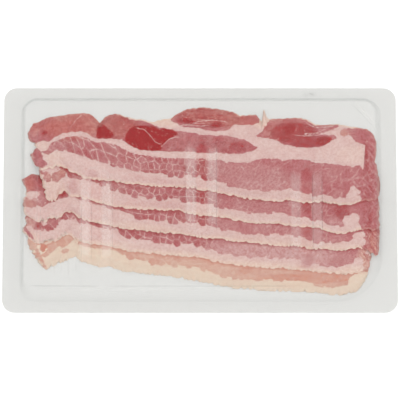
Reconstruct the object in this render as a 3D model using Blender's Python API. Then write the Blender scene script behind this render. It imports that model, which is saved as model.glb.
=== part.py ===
"""A sealed clear pack of five overlapping streaky bacon rashers, lying on its flat film.

Metres, +Z up. The long side of the pack runs along X. The flat film lies on z = 0 and the
formed, ribbed side of the pack faces up. The origin is under the middle of the pack.
"""

import math

import bmesh
import bpy
from mathutils import Vector

# The pack's outline.
PACK_LENGTH = 0.240
PACK_WIDTH = 0.140
PACK_HEIGHT = 0.016
FLANGE_CORNER = 0.008
FILM_THICKNESS = 0.00035
SHELL_THICKNESS = 0.0005
FIT_GAP = 0.0003

# The formed well: where its foot meets the flange, and how far each wall leans inwards.
WELL_LEFT, WELL_RIGHT = -0.1095, 0.1108
WELL_FRONT, WELL_BACK = -0.0635, 0.0637
LEAN_LEFT, LEAN_RIGHT = 0.0034, 0.0049
LEAN_FRONT, LEAN_BACK = 0.0070, 0.0055
CORNER_BACK_LEFT = 0.0105
CORNER_BACK_RIGHT = 0.0115
CORNER_FRONT_LEFT = 0.0105
CORNER_FRONT_RIGHT = 0.029
FOOT_RADIUS = 0.0012
SHOULDER_RADIUS = 0.005
CORNER_STEPS = 8
FOOT_STEPS = 2
SHOULDER_STEPS = 5

# Three ribs sunk into the top of the well, each a long oval: centre x, centre y.
RIB_CENTRES = ((-0.0630, -0.0148), (0.0010, 0.0058), (0.0645, -0.0100))
RIB_LENGTH = 0.0655
RIB_WIDTH = 0.0198
RIB_SLOPE = 0.0062
RIB_DEPTH = 0.0026
RIB_END_STEPS = 8
RIB_PROFILE = ((0.0, 0.0), (0.22, 0.10), (0.78, 0.90), (1.0, 1.0))  # shares of slope and depth

# The rashers. Rasher 1 lies on top at the back, rasher 5 on the film at the front.
RASHER_COUNT = 5
RASHER_THICKNESS = 0.0025
RASHER_GAP = 0.0006
EDGE_THINNING = 0.45
DRAPE_FALL = 0.0128
SQUEEZE_START, SQUEEZE_END = 0.092, 0.108
SQUEEZE_LEAST = 0.6
CELLS_ALONG = 30
CELLS_ACROSS = 12

# A belly is narrow at its left end and wide from the middle on, with a dip between
# its lobes: (x, width) in metres. Each rasher takes its share of that width.
BELLY_WIDTH = (
    (-0.110, 0.0310), (-0.095, 0.0330), (-0.080, 0.0346), (-0.062, 0.0375), (-0.050, 0.0438),
    (-0.030, 0.0410), (-0.018, 0.0440), (0.000, 0.0520), (0.018, 0.0545), (0.030, 0.0525),
    (0.060, 0.0535), (0.073, 0.0498), (0.090, 0.0500), (0.110, 0.0440),
)
WIDTH_SHARES = {1: 1.0, 2: 0.94, 3: 0.96, 4: 0.90, 5: 0.84}

# The front edge of each rasher, the streak's fat side: (x, y) in metres.
FRONT_EDGES = {
    1: (
        (-0.108, 0.0170), (-0.096, 0.0180), (-0.084, 0.0180), (-0.070, 0.0115),
        (-0.050, 0.0088), (-0.020, 0.0062), (0.005, 0.0036), (0.033, -0.0015),
        (0.062, -0.0034), (0.090, -0.0048), (0.110, -0.0028),
    ),
    2: (
        (-0.108, -0.0040), (-0.093, -0.0030), (-0.081, 0.0018), (-0.070, -0.0018),
        (-0.050, -0.0066), (-0.020, -0.0088), (0.005, -0.0125), (0.033, -0.0163),
        (0.062, -0.0187), (0.086, -0.0225), (0.110, -0.0205),
    ),
    3: (
        (-0.108, -0.0160), (-0.095, -0.0158), (-0.081, -0.0097), (-0.070, -0.0138),
        (-0.050, -0.0180), (-0.020, -0.0217), (0.005, -0.0253), (0.033, -0.0284),
        (0.062, -0.0311), (0.086, -0.0328), (0.110, -0.0370),
    ),
    4: (
        (-0.108, -0.0260), (-0.095, -0.0278), (-0.080, -0.0216), (-0.070, -0.0273),
        (-0.050, -0.0312), (-0.020, -0.0351), (0.005, -0.0382), (0.033, -0.0425),
        (0.062, -0.0445), (0.086, -0.0467), (0.110, -0.0440),
    ),
    5: (
        (-0.108, -0.0490), (-0.094, -0.0435), (-0.078, -0.0360), (-0.070, -0.0390),
        (-0.050, -0.0427), (-0.020, -0.0475), (0.005, -0.0518), (0.033, -0.0561),
        (0.062, -0.0570), (0.084, -0.0588), (0.110, -0.0530),
    ),
}

# The ends of each rasher, from its front edge (0) to its back edge (1): (share, x).
LEFT_ENDS = {
    1: ((0.0, -0.0945), (0.12, -0.0995), (0.40, -0.1028), (0.52, -0.1005), (0.78, -0.1050), (1.0, -0.0975)),
    2: ((0.0, -0.0915), (0.15, -0.0935), (0.60, -0.0970), (0.85, -0.0985), (1.0, -0.0940)),
    3: ((0.0, -0.0955), (0.15, -0.1055), (0.35, -0.1072), (0.60, -0.1050), (0.85, -0.1072), (1.0, -0.1000)),
    4: ((0.0, -0.0975), (0.12, -0.1025), (0.40, -0.1055), (0.75, -0.1055), (1.0, -0.0980)),
    5: ((0.0, -0.0925), (0.15, -0.0955), (0.50, -0.1030), (0.80, -0.1040), (1.0, -0.0980)),
}
RIGHT_ENDS = {
    1: ((0.0, 0.1055), (0.15, 0.1082), (0.70, 0.1080), (0.90, 0.1075), (1.0, 0.1030)),
    2: ((0.0, 0.1055), (0.15, 0.1082), (0.70, 0.1078), (0.90, 0.1060), (1.0, 0.1010)),
    3: ((0.0, 0.1050), (0.15, 0.1082), (0.60, 0.1078), (0.85, 0.1060), (1.0, 0.1010)),
    4: ((0.0, 0.0980), (0.12, 0.1020), (0.50, 0.1045), (0.85, 0.1050), (1.0, 0.1000)),
    5: ((0.0, 0.0935), (0.12, 0.0985), (0.35, 0.1015), (0.80, 0.1035), (1.0, 0.0990)),
}

CLEAR_PLASTIC = (0.86, 0.88, 0.86)
RASHER_COLOURS = {
    1: (0.46, 0.13, 0.12),
    2: (0.50, 0.20, 0.19),
    3: (0.50, 0.21, 0.20),
    4: (0.52, 0.23, 0.21),
    5: (0.66, 0.42, 0.32),
}

FLANGE_BASE = FILM_THICKNESS + FIT_GAP
FLANGE_TOP = FLANGE_BASE + SHELL_THICKNESS
MEAT_BASE = FILM_THICKNESS + FIT_GAP


def clear_scene():
    for thing in list(bpy.data.objects):
        bpy.data.objects.remove(thing, do_unlink=True)


def material(name, colour, roughness, alpha=1.0):
    made = bpy.data.materials.new(name)
    made.use_nodes = True
    shader = made.node_tree.nodes["Principled BSDF"]
    shader.inputs["Base Color"].default_value = (*colour, 1.0)
    shader.inputs["Roughness"].default_value = roughness
    shader.inputs["Metallic"].default_value = 0.0
    shader.inputs["Alpha"].default_value = alpha
    made.diffuse_color = (*colour, alpha)
    return made


def add_object(name, mesh_data, finish, sharp_degrees):
    mesh = bpy.data.meshes.new(name)
    mesh_data.to_mesh(mesh)
    mesh_data.free()
    mesh.shade_smooth()
    mesh.set_sharp_from_angle(angle=math.radians(sharp_degrees))
    mesh.materials.append(finish)
    made = bpy.data.objects.new(name, mesh)
    bpy.context.scene.collection.objects.link(made)
    return made


def smooth_step(value):
    held = min(max(value, 0.0), 1.0)
    return held * held * (3.0 - 2.0 * held)


def along_curve(points, at):
    """The height of a smooth curve through the points, which run in order of their first number."""
    if at <= points[0][0]:
        return points[0][1]
    if at >= points[-1][0]:
        return points[-1][1]
    last = len(points) - 1
    right = next(i for i, point in enumerate(points) if point[0] >= at)
    left = right - 1
    slopes = []
    for i in (left, right):
        before, after = points[max(i - 1, 0)], points[min(i + 1, last)]
        slopes.append((after[1] - before[1]) / (after[0] - before[0]))
    span = points[right][0] - points[left][0]
    t = (at - points[left][0]) / span
    return (
        (2 * t**3 - 3 * t**2 + 1) * points[left][1]
        + (t**3 - 2 * t**2 + t) * span * slopes[0]
        + (3 * t**2 - 2 * t**3) * points[right][1]
        + (t**3 - t**2) * span * slopes[1]
    )


def rounded_rectangle(sides, radii, steps):
    """Points anticlockwise round a rectangle, each with the two sides it lies between.

    sides is (left, right, front, back) and radii is (front left, front right, back right, back left).
    """
    left, right, front, back = sides
    corners = (
        (left + radii[0], front + radii[0], radii[0], 180, ("left", "front")),
        (right - radii[1], front + radii[1], radii[1], 270, ("front", "right")),
        (right - radii[2], back - radii[2], radii[2], 0, ("right", "back")),
        (left + radii[3], back - radii[3], radii[3], 90, ("back", "left")),
    )
    points = []
    for centre_x, centre_y, radius, start, between in corners:
        for step in range(steps + 1):
            share = step / steps
            angle = math.radians(start + 90 * share)
            point = (centre_x + radius * math.cos(angle), centre_y + radius * math.sin(angle))
            points.append((point, between, share))
    return points


def wall_profile(lean):
    """(inset, height) from the flange, round the foot, up the wall and over the shoulder."""
    rise = PACK_HEIGHT - FLANGE_TOP
    pitch = math.atan2(rise, lean)
    foot_reach = FOOT_RADIUS * math.tan(pitch / 2)
    shoulder_reach = SHOULDER_RADIUS * math.tan(pitch / 2)
    profile = []
    for step in range(FOOT_STEPS + 1):
        turned = pitch * step / FOOT_STEPS
        inset = FOOT_RADIUS * math.sin(turned) - foot_reach
        profile.append((inset, FOOT_RADIUS * (1 - math.cos(turned))))
    for step in range(SHOULDER_STEPS + 1):
        left_to_turn = pitch * (1 - step / SHOULDER_STEPS)
        inset = lean + shoulder_reach - SHOULDER_RADIUS * math.sin(left_to_turn)
        profile.append((inset, rise - SHOULDER_RADIUS * (1 - math.cos(left_to_turn))))
    return profile


def well_rings():
    """The rings of points of the formed well, from the flange to the edge of its top."""
    profiles = {
        "left": wall_profile(LEAN_LEFT),
        "right": wall_profile(LEAN_RIGHT),
        "front": wall_profile(LEAN_FRONT),
        "back": wall_profile(LEAN_BACK),
    }
    rings = []
    for level in range(len(profiles["left"])):
        at = {side: profile[level] for side, profile in profiles.items()}
        sides = (
            WELL_LEFT + at["left"][0],
            WELL_RIGHT - at["right"][0],
            WELL_FRONT + at["front"][0],
            WELL_BACK - at["back"][0],
        )
        radii = (
            CORNER_FRONT_LEFT - (at["left"][0] + at["front"][0]) / 2,
            CORNER_FRONT_RIGHT - (at["right"][0] + at["front"][0]) / 2,
            CORNER_BACK_RIGHT - (at["right"][0] + at["back"][0]) / 2,
            CORNER_BACK_LEFT - (at["left"][0] + at["back"][0]) / 2,
        )
        ring = []
        for (x, y), (first, second), share in rounded_rectangle(sides, radii, CORNER_STEPS):
            height = at[first][1] * (1 - share) + at[second][1] * share
            ring.append(Vector((x, y, FLANGE_TOP + height)))
        rings.append(ring)
    return rings


def rib_ring(centre, slope_share, depth_share):
    """A long oval round a rib, part way down its slope: two half circles and straight sides."""
    radius = RIB_WIDTH / 2 - RIB_SLOPE * slope_share
    straight = (RIB_LENGTH - RIB_WIDTH) / 2
    height = PACK_HEIGHT - RIB_DEPTH * depth_share
    points = []
    for end, start in ((1, 0), (-1, 180)):
        for step in range(RIB_END_STEPS + 1):
            angle = math.radians(start + 180 * step / RIB_END_STEPS)
            x = centre[0] + radius * math.cos(angle)
            y = centre[1] + end * straight + radius * math.sin(angle)
            points.append(Vector((x, y, height)))
    return points


def add_ring(mesh_data, points):
    return [mesh_data.verts.new(point) for point in points]


def join_rings(mesh_data, outer, inner):
    count = len(outer)
    for i in range(count):
        following = (i + 1) % count
        mesh_data.faces.new((outer[i], outer[following], inner[following], inner[i]))


def ring_edges(mesh_data, ring):
    edges = []
    for i, vertex in enumerate(ring):
        following = ring[(i + 1) % len(ring)]
        edge = mesh_data.edges.get((vertex, following))
        edges.append(edge or mesh_data.edges.new((vertex, following)))
    return edges


def flange_outline():
    half_length, half_width = PACK_LENGTH / 2, PACK_WIDTH / 2
    sides = (-half_length, half_length, -half_width, half_width)
    return [point for point, _, _ in rounded_rectangle(sides, (FLANGE_CORNER,) * 4, CORNER_STEPS)]


def build_shell(finish):
    """The formed tray as one sheet, thickened inwards: flange, walls, top and sunken ribs."""
    sheet = bmesh.new()
    rings = [add_ring(sheet, [Vector((x, y, FLANGE_TOP)) for x, y in flange_outline()])]
    rings += [add_ring(sheet, ring) for ring in well_rings()]
    for outer, inner in zip(rings, rings[1:]):
        join_rings(sheet, outer, inner)
    top_edges = ring_edges(sheet, rings[-1])
    for centre in RIB_CENTRES:
        steps = [add_ring(sheet, rib_ring(centre, *shares)) for shares in RIB_PROFILE]
        for outer, inner in zip(steps, steps[1:]):
            join_rings(sheet, outer, inner)
        sheet.faces.new(steps[-1])
        top_edges += ring_edges(sheet, steps[0])
    bmesh.ops.triangle_fill(sheet, edges=top_edges, use_beauty=True)
    bmesh.ops.recalc_face_normals(sheet, faces=sheet.faces)
    shell = add_object("tray_shell", sheet, finish, 20)
    if shell.data.polygons[0].normal.z < 0:
        shell.data.flip_normals()
    thicken = shell.modifiers.new("wall", "SOLIDIFY")
    thicken.thickness = SHELL_THICKNESS
    thicken.offset = -1.0
    thicken.use_even_offset = True
    return shell


def build_film(finish):
    """The flat film sealed to the flange, on which the pack lies."""
    sheet = bmesh.new()
    bottom = sheet.faces.new(add_ring(sheet, [Vector((x, y, 0.0)) for x, y in flange_outline()]))
    extruded = bmesh.ops.extrude_face_region(sheet, geom=[bottom])
    raised = [item for item in extruded["geom"] if isinstance(item, bmesh.types.BMVert)]
    bmesh.ops.translate(sheet, verts=raised, vec=(0.0, 0.0, FILM_THICKNESS))
    bmesh.ops.recalc_face_normals(sheet, faces=sheet.faces)
    return add_object("lid_film", sheet, finish, 30)


def width_at(number, x):
    return WIDTH_SHARES[number] * along_curve(BELLY_WIDTH, x)


def squeeze(x):
    """The ends of the stack are pressed flatter under the shoulders of the pack."""
    share = (abs(x) - SQUEEZE_START) / (SQUEEZE_END - SQUEEZE_START)
    return 1.0 - (1.0 - SQUEEZE_LEAST) * smooth_step(share)


def cover(number, x, y):
    """1 over rasher number, falling to 0 within DRAPE_FALL outside it."""
    front = along_curve(FRONT_EDGES[number], x)
    width = width_at(number, x)
    share = min(max((y - front) / width, 0.0), 1.0)
    inside = (
        y - front,
        front + width - y,
        x - along_curve(LEFT_ENDS[number], share),
        along_curve(RIGHT_ENDS[number], share) - x,
    )
    covered = 1.0
    for distance in inside:
        covered *= smooth_step(1.0 + distance / DRAPE_FALL)
    return covered


def underside(number, x, y):
    """The height of a rasher's underside, draped over the rashers beneath it."""
    layer = RASHER_THICKNESS + RASHER_GAP
    beneath = sum(cover(lower, x, y) for lower in range(number + 1, RASHER_COUNT + 1))
    return MEAT_BASE + layer * beneath * squeeze(x)


def build_rasher(number, finish):
    """One rasher: a top and an underside over the same outline, closed round its edge."""
    body = bmesh.new()
    tops, undersides = {}, {}
    for i in range(CELLS_ALONG + 1):
        for j in range(CELLS_ACROSS + 1):
            across = j / CELLS_ACROSS
            left = along_curve(LEFT_ENDS[number], across)
            right = along_curve(RIGHT_ENDS[number], across)
            x = left + (right - left) * i / CELLS_ALONG
            y = along_curve(FRONT_EDGES[number], x) + across * width_at(number, x)
            on_edge = i in (0, CELLS_ALONG) or j in (0, CELLS_ACROSS)
            thickness = RASHER_THICKNESS * squeeze(x) * ((1 - EDGE_THINNING) if on_edge else 1.0)
            low = underside(number, x, y)
            undersides[i, j] = body.verts.new((x, y, low))
            tops[i, j] = body.verts.new((x, y, low + thickness))
    for i in range(CELLS_ALONG):
        for j in range(CELLS_ACROSS):
            square = ((i, j), (i + 1, j), (i + 1, j + 1), (i, j + 1))
            body.faces.new([tops[key] for key in square])
            body.faces.new([undersides[key] for key in reversed(square)])
    border = [(i, 0) for i in range(CELLS_ALONG)]
    border += [(CELLS_ALONG, j) for j in range(CELLS_ACROSS)]
    border += [(i, CELLS_ACROSS) for i in range(CELLS_ALONG, 0, -1)]
    border += [(0, j) for j in range(CELLS_ACROSS, 0, -1)]
    for here, following in zip(border, border[1:] + border[:1]):
        body.faces.new((undersides[here], undersides[following], tops[following], tops[here]))
    bmesh.ops.recalc_face_normals(body, faces=body.faces)
    return add_object(f"rasher_{number}", body, finish, 60)


def main():
    clear_scene()
    build_shell(material("clear_shell", CLEAR_PLASTIC, 0.12, 0.35))
    build_film(material("clear_film", CLEAR_PLASTIC, 0.18, 0.35))
    for number in range(1, RASHER_COUNT + 1):
        build_rasher(number, material(f"bacon_{number}", RASHER_COLOURS[number], 0.38))


main()
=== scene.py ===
"""The looks of a sealed clear pack of five streaky bacon rashers: shell, film, meat, floor and light.

Shapes are worked out in millimetres and written to the meshes in metres. "Seen" heights are
heights along the table as the camera sees them: a raised point looks further back than it is.
"""

import functools
import math

import bmesh
import bpy
import numpy as np
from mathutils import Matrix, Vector


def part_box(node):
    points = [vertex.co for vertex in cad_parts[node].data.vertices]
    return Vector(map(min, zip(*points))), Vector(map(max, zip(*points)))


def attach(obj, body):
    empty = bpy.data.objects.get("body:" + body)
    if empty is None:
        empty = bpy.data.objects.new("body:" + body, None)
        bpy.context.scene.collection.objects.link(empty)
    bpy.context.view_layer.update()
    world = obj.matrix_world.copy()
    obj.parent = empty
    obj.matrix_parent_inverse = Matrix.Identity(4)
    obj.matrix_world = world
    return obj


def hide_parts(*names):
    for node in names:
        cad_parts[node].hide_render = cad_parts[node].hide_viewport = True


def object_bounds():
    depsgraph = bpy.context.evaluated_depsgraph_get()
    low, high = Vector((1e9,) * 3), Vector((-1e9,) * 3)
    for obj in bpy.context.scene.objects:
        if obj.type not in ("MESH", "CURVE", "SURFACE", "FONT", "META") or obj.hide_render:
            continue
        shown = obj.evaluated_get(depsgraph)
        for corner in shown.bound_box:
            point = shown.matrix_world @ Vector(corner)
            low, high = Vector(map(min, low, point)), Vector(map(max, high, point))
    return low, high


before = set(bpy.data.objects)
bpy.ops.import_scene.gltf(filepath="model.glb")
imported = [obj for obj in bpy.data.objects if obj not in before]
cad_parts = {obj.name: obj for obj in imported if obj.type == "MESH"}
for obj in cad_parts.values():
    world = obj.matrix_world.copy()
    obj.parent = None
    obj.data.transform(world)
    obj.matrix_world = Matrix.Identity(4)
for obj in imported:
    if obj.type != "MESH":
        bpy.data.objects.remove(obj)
CAD_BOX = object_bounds()

MM = 0.001
FAR = 99.0  # farther than any distance that matters, in millimetres
BLACK, WHITE = (0.0, 0.0, 0.0), (1.0, 1.0, 1.0)
EVEN = (1.0, 1.0, 1.0)  # a texture that isn't drawn out along any axis

# The camera looks down from the front, this far off straight down.
CAMERA_TILT = math.radians(12.0)
SEEN_SHIFT = math.tan(CAMERA_TILT)
CAMERA_DISTANCE = 2.2  # metres
SENSOR_WIDTH = 36.0
AIM_BACK = -0.3  # how far behind the pack's middle it aims, in millimetres
VIEW_SHARE = 1.0152  # the width of the view over the pack's

# The light, in metres and watts: a white sky that is strongest at the horizon, and one wide lamp.
SKY_LOW, SKY_HIGH, SKY_HIGH_FROM = 1.12, 0.995, 0.85
LAMP_POWER, LAMP_WIDTH, LAMP_PLACE = 9.1, 1.6, (0.2, -0.05, 1.65)

# The floor, whose faint glow keeps it white under the clear flange.
FLOOR_TONES = (0.79, 0.79, 0.79), (0.81, 0.81, 0.81)
FLOOR_GLOW = 0.24
FLOOR_REACH = 1500.0
FLOOR_TOP = -0.05

# The pack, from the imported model.
SHELL_LOW, SHELL_HIGH = (np.array(corner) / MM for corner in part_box("tray_shell"))
FLANGE_HALF = (SHELL_HIGH - SHELL_LOW)[:2] / 2
SHELL_THICKNESS = 0.5
FLANGE_TOP = SHELL_LOW[2] + SHELL_THICKNESS
PACK_TOP = SHELL_HIGH[2]
FILM_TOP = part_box("lid_film")[1][2] / MM
FILM_THICKNESS = 0.28
FILM_SUNK = 0.05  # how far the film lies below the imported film's top
MEAT_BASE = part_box("rasher_5")[0][2] / MM

# The formed well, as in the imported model: where its sides are, and how far their walls lean in.
WELL = {"left": -109.5, "right": 110.8, "front": -63.5, "back": 63.7}
LEAN = {"left": 3.4, "right": 4.9, "front": 7.0, "back": 5.5}
WELL_CORNERS = (10.5, 29.0, 11.5, 10.5)  # front left, front right, back right, back left
FLANGE_CORNER = 8.0
FOOT_RADIUS = 1.2
SHOULDER_RADIUS = 5.0

# The sunken ribs: centre x, centre y.
RIBS = ((-63, -14.8), (1, 5.8), (64.5, -10))
RIB_WIDTH = 19.8
RIB_STRAIGHT = 22.85  # half the length of a rib's straight sides
RIB_SLOPE = 6.2
RIB_DEPTH = 2.6

# How finely the clear sheets are cut. Both are rings of points, and the shell's top is a grid.
FOOT_STEPS, WALL_STEPS, SHOULDER_STEPS, CORNER_STEPS = 5, 5, 9, 12
RING_PITCH = 3.2
FLANGE_SHARES = (0.0, 0.04, 0.14, 0.3, 0.45, 0.6, 0.72, 0.82, 0.9, 0.96)
FILM_INSETS = (0.0, 1.0, 4.0, 6.0, 7.5, 9.0, 11.0, 16.0, 25.0, 40.0, 56.0)
TOP_PITCH, TOP_MARGIN = (1.05, 1.5), 0.6
TOP_GAP = 0.7  # the grid stays this far from the last ring
GAP_LOWEST = PACK_TOP - 4.0  # no point round that gap is lower than this

# The clear plastic.
SHELL_TINT = (0.974, 0.975, 0.974)
FILM_TINT = (0.918, 0.916, 0.909)
SHINE_COLOUR = (0.60, 0.62, 0.62)
# The warm milky colour of the painted sheen and painted highlights, standing in for the meat's light
# reflected in the plastic.
PAINTED_SHEEN_COLOUR = (0.95, 0.87, 0.82)
SHINE_POWER, SHINE_EDGE = 6.0, 0.42  # how fast the shine grows away from its face, and by how much
SHINE_OUTSIDE, SHINE_INSIDE = 0.018, 0.038
RIB_PAINTED_SHEEN = 0.105  # painted sheen: how milky the ribs' slopes are made, standing in for the light they reflect
SHEEN_FROM, SHEEN_TO, SHEEN_FADE = -0.5, 7.4, 2.2  # where that is, by the distance in from a rib's outline
SHEEN_NEAR = 14.0  # which x, from a rib's centre, belong to it
SHEEN_END_LESS, SHEEN_END_FADE = 0.75, 5.0  # how much less painted sheen a rib's ends have
SHEEN_RIGHT_LESS, SHEEN_RIGHT_FROM = 0.3, 40.0  # how much less painted sheen the rib at the right has
# How much darker the clear plastic is made: on the flange, and as painted shade along the foot and up the
# walls, standing in for their reflections.
FLANGE_DARK, FOOT_DARK, WALL_DARK = 0.08, 0.12, 0.02

# The two kinds of meat.
STREAKY_MEAT = {
    "lean": (0.42, 0.105, 0.112), "warm": (0.46, 0.112, 0.096), "deep": (0.315, 0.010, 0.011),
    "fat": (0.675, 0.468, 0.432), "rim": (0.75, 0.56, 0.455),
}
PALE_MEAT = {
    "lean": (0.585, 0.315, 0.248), "warm": (0.585, 0.315, 0.248), "deep": (0.55, 0.19, 0.13),
    "fat": (0.715, 0.565, 0.450), "rim": (0.715, 0.565, 0.450),
}
PALE_RASHER = 5

# The stack of rashers.
THICKNESS = 2.5
GAP = 0.6
DRAPE_FALL = 12.8
SQUEEZE_START, SQUEEZE_END, SQUEEZE_LEAST = 92.0, 108.0, 0.52
FATTER = 0.285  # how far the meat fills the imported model's gaps, each way
WALL_GAP = 0.1  # what is left between the meat and the wall at the right

# How finely a rasher is cut. Its rows lie close together at its edges, where it is rounded.
RASHER_LENGTH, RASHER_WIDTH = 213.0, 50.0
FINE_CELL, COARSE_CELL = 0.66, 2.4
FINE_REACH = 30.0  # how far back the cells of a partly hidden rasher are fine
EDGE_ROWS = (0.0, 0.08, 0.25, 0.5, 0.85, 1.35)

# A rasher's edge. Shares are of its full thickness.
EDGE_ROUNDING = 1.1
EDGE_SHARE, EDGE_TAPER = 0.16, 5.5
END_SHARE, END_TAPER = 0.62, 2.6
RIM_LIFT = 0.03

# Waves: (height, length, seed).
SHELL_WAVES = ((0.10, 31.0, 91), (0.05, 12.0, 92))
FILM_WAVES = ((0.05, 14.0, 77),)
MEAT_WAVES = ((0.11, 9.0, 5), (0.06, 2.6, 6))

# The ragged edges, as lobes: (how far they stand out, length, seed).
FRONT_RAG = ((0.52, 1.8, 50), (0.32, 4.4, 60))
BACK_RAG = ((0.22, 2.0, 54), (0.24, 4.4, 64))
END_RAG = ((0.34, 2.2, 70), (0.40, 4.0, 74))
END_LENGTH = 60.0  # over which an end's lobes are laid
RIGHT_END_RAG = 0.6  # the right end's lobes against the left end's
RAGGED_LEFT, RAGGED_MORE = -76.0, 0.8  # to the left of this the front edge is more ragged
FRONT_RAG_REACH, BACK_RAG_REACH, END_RAG_REACH = 2.4, 2.5, 4.0  # how far in the lobes are felt

# The streaky lean, in bundles of fibre at the left and fibrous at the right.
BUNDLE_PITCH = 4.0
BUNDLE_COUNT = ((-110, -23.9), (-62, -14.5), (-46, -11.3), (0, 0), (110, 27.5))
LONG_BUNDLE = 6.6  # how long they are at the left end, where they also lean over
LONG_FROM, LONG_FADE = -46.0, 16.0
BUNDLE_LEAN = 0.38
CELL_ROW = 20.0  # keeps the bundles' row numbers above zero
CELL_SHIFT = 7.0  # sets each rasher's bundles apart from the next one's
FIBROUS_FROM, FIBROUS_FADE = 4.0, 12.0
SCALLOPS_FROM, SCALLOP_LENGTH, SCALLOP_SEED = 6.0, 6.4, 90  # along the seam of fat
MUSCLE_END = 37.0  # where rasher 1's dark back muscle stops
COLUMN_START, COLUMN_TOP = 98.6, 37.0  # the stranded, folded lean down the right end
FOLD_HEIGHT = 0.25
CREASE_X, CREASE_TOP = 101.3, 38.0  # a crease down that lean
CREASE_WIDTH, CREASE_DEPTH = 0.8, 0.7
LEAN_SUNK = 0.08  # how far the lean lies below the fat
CONTACT_STRENGTH = 1.35  # how much darker the meat is where it presses against the shell

BELLY_WIDTH = (
    (-110, 30), (-95, 31), (-80, 34.6), (-62, 37.5), (-50, 43.8), (-30, 41), (-18, 44), (0, 52),
    (18, 54.5), (30, 52.5), (60, 53.5), (73, 49.8), (90, 50), (110, 44),
)
WIDTH_SHARES = {1: 1.0, 2: 0.94, 3: 0.96, 4: 0.90, 5: 0.84}

# Each rasher's front edge: (x, seen height).
FRONT = {
    1: (
        (-110, 19.5), (-97, 20), (-91, 20.2), (-87, 21.6), (-83.5, 21), (-80, 18.6), (-75, 16.6),
        (-70, 13.8), (-65, 13.2), (-57, 12), (-48, 11.1), (-25, 8.9), (-3, 7.4), (5, 5.9), (14, 4.4),
        (24, 2), (34, 0.6), (50, -0.2), (56, 0.3), (62, -1.2), (74, -1.2), (82, -2.2), (91, -2.6),
        (98, -0.4), (110, 0.6),
    ),
    2: (
        (-110, -1), (-93, -0.4), (-89, 0.7), (-86.6, 1.6), (-85.4, 4.2), (-82.8, 5.8), (-80.8, 5.2),
        (-79.4, 3.2), (-75, 2.6), (-70, 1), (-64, -0.6), (-48, -4.4), (-38, -5.2), (-26, -6), (-13, -6.7),
        (3, -9.6), (12, -10.2), (22, -12.2), (34, -13.9), (46, -14.2), (54, -15.4), (64, -16.2),
        (75, -17.8), (81, -20.2), (89, -20), (96, -18.2), (110, -18.4),
    ),
    3: (
        (-110, -12.5), (-99, -12.8), (-95, -13.2), (-91, -11.2), (-87, -10.8), (-82, -7.9), (-78, -7.6),
        (-73, -10.8), (-58, -14.6), (-50, -16.6), (-38, -18), (-26, -19.6), (-13, -20.6), (-5, -22.1),
        (12, -23.9), (22, -25.2), (50, -27.9), (60, -28.6), (69, -30.3), (77, -29.9), (86, -31),
        (95, -29.6), (104, -32.4), (106.5, -35.3), (110, -34),
    ),
    4: (
        (-110, -25.5), (-101, -25.8), (-95, -26.6), (-90, -25.8), (-86, -24.4), (-83, -21.6),
        (-79.5, -20.3), (-76, -23.4), (-70, -26), (-62, -27.2), (-54, -28.4), (-46, -30.9), (-36, -32),
        (-12, -34.6), (0, -35.4), (6, -37.2), (40, -41.4), (54, -42.4), (76, -44.6), (88, -45.4),
        (97, -44.6), (110, -42),
    ),
    5: (
        (-110, -46), (-94, -43.2), (-84, -38.2), (-80, -36.8), (-77, -35.2), (-72, -37.6), (-65, -39.6),
        (-61, -41), (-54, -41.2), (-48, -43.4), (-38, -44.6), (-14, -47.6), (20, -54), (50, -56),
        (66, -56.5), (76, -57.7), (85, -58.4), (93, -56.8), (110, -52),
    ),
}
# Rasher 1's back edge: (x, seen height).
FIRST_BACK = (
    (-110, 43), (-105, 45.2), (-101.5, 48), (-99, 48.3), (-96, 50.3), (-80, 53.4), (-70, 54), (-67, 53.3),
    (-62.8, 49.8), (-61.4, 48.4), (-59.6, 50.4), (-53, 53.5), (-49, 53.5), (-46, 52.2), (-35, 50.2),
    (-28, 48.6), (-25, 49.8), (-21.5, 50.6), (-17.5, 51.2), (-15, 53), (-12, 54.9), (-2, 57.6),
    (13, 56.6), (20, 55), (24, 53), (28, 53), (31.5, 53.6), (35.6, 51.8), (36.8, 50.2), (38.2, 50.2),
    (38.6, 53.2), (38.8, 55.8), (39.3, 55.9), (40.3, 53.2), (41.8, 50.9), (45, 50.6), (54, 51), (62, 51),
    (67, 49.3), (71, 47), (76, 47), (84, 47.2), (92, 46), (100, 44.6), (105, 43.3), (110, 40),
)

# Each rasher's ends, from its front edge (0) to its back edge (1): (share, x).
LEFT_END = {
    1: (
        (0, -96), (0.05, -99.5), (0.13, -101), (0.27, -102.8), (0.33, -103.2), (0.4, -101),
        (0.53, -100.7), (0.64, -103.2), (0.75, -104.6), (0.93, -104.4), (0.97, -103), (1, -101),
    ),
    2: ((0, -92), (0.08, -93.4), (0.25, -94.5), (0.58, -97), (0.85, -97.5), (1, -94)),
    3: (
        (0, -96.5), (0.05, -102.5), (0.14, -106.4), (0.28, -107.3), (0.49, -107), (0.56, -106),
        (0.62, -105.2), (0.7, -106.2), (0.79, -107.2), (0.92, -107.4), (0.95, -105.4), (1, -102),
    ),
    4: (
        (0, -97), (0.04, -102.2), (0.14, -105), (0.22, -107.3), (0.3, -107.4), (0.38, -105.6),
        (0.5, -105.7), (0.9, -103), (1, -98),
    ),
    5: ((0, -92.8), (0.05, -94.6), (0.18, -97), (0.36, -99.7), (0.58, -103), (0.85, -104), (1, -99)),
}
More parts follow.
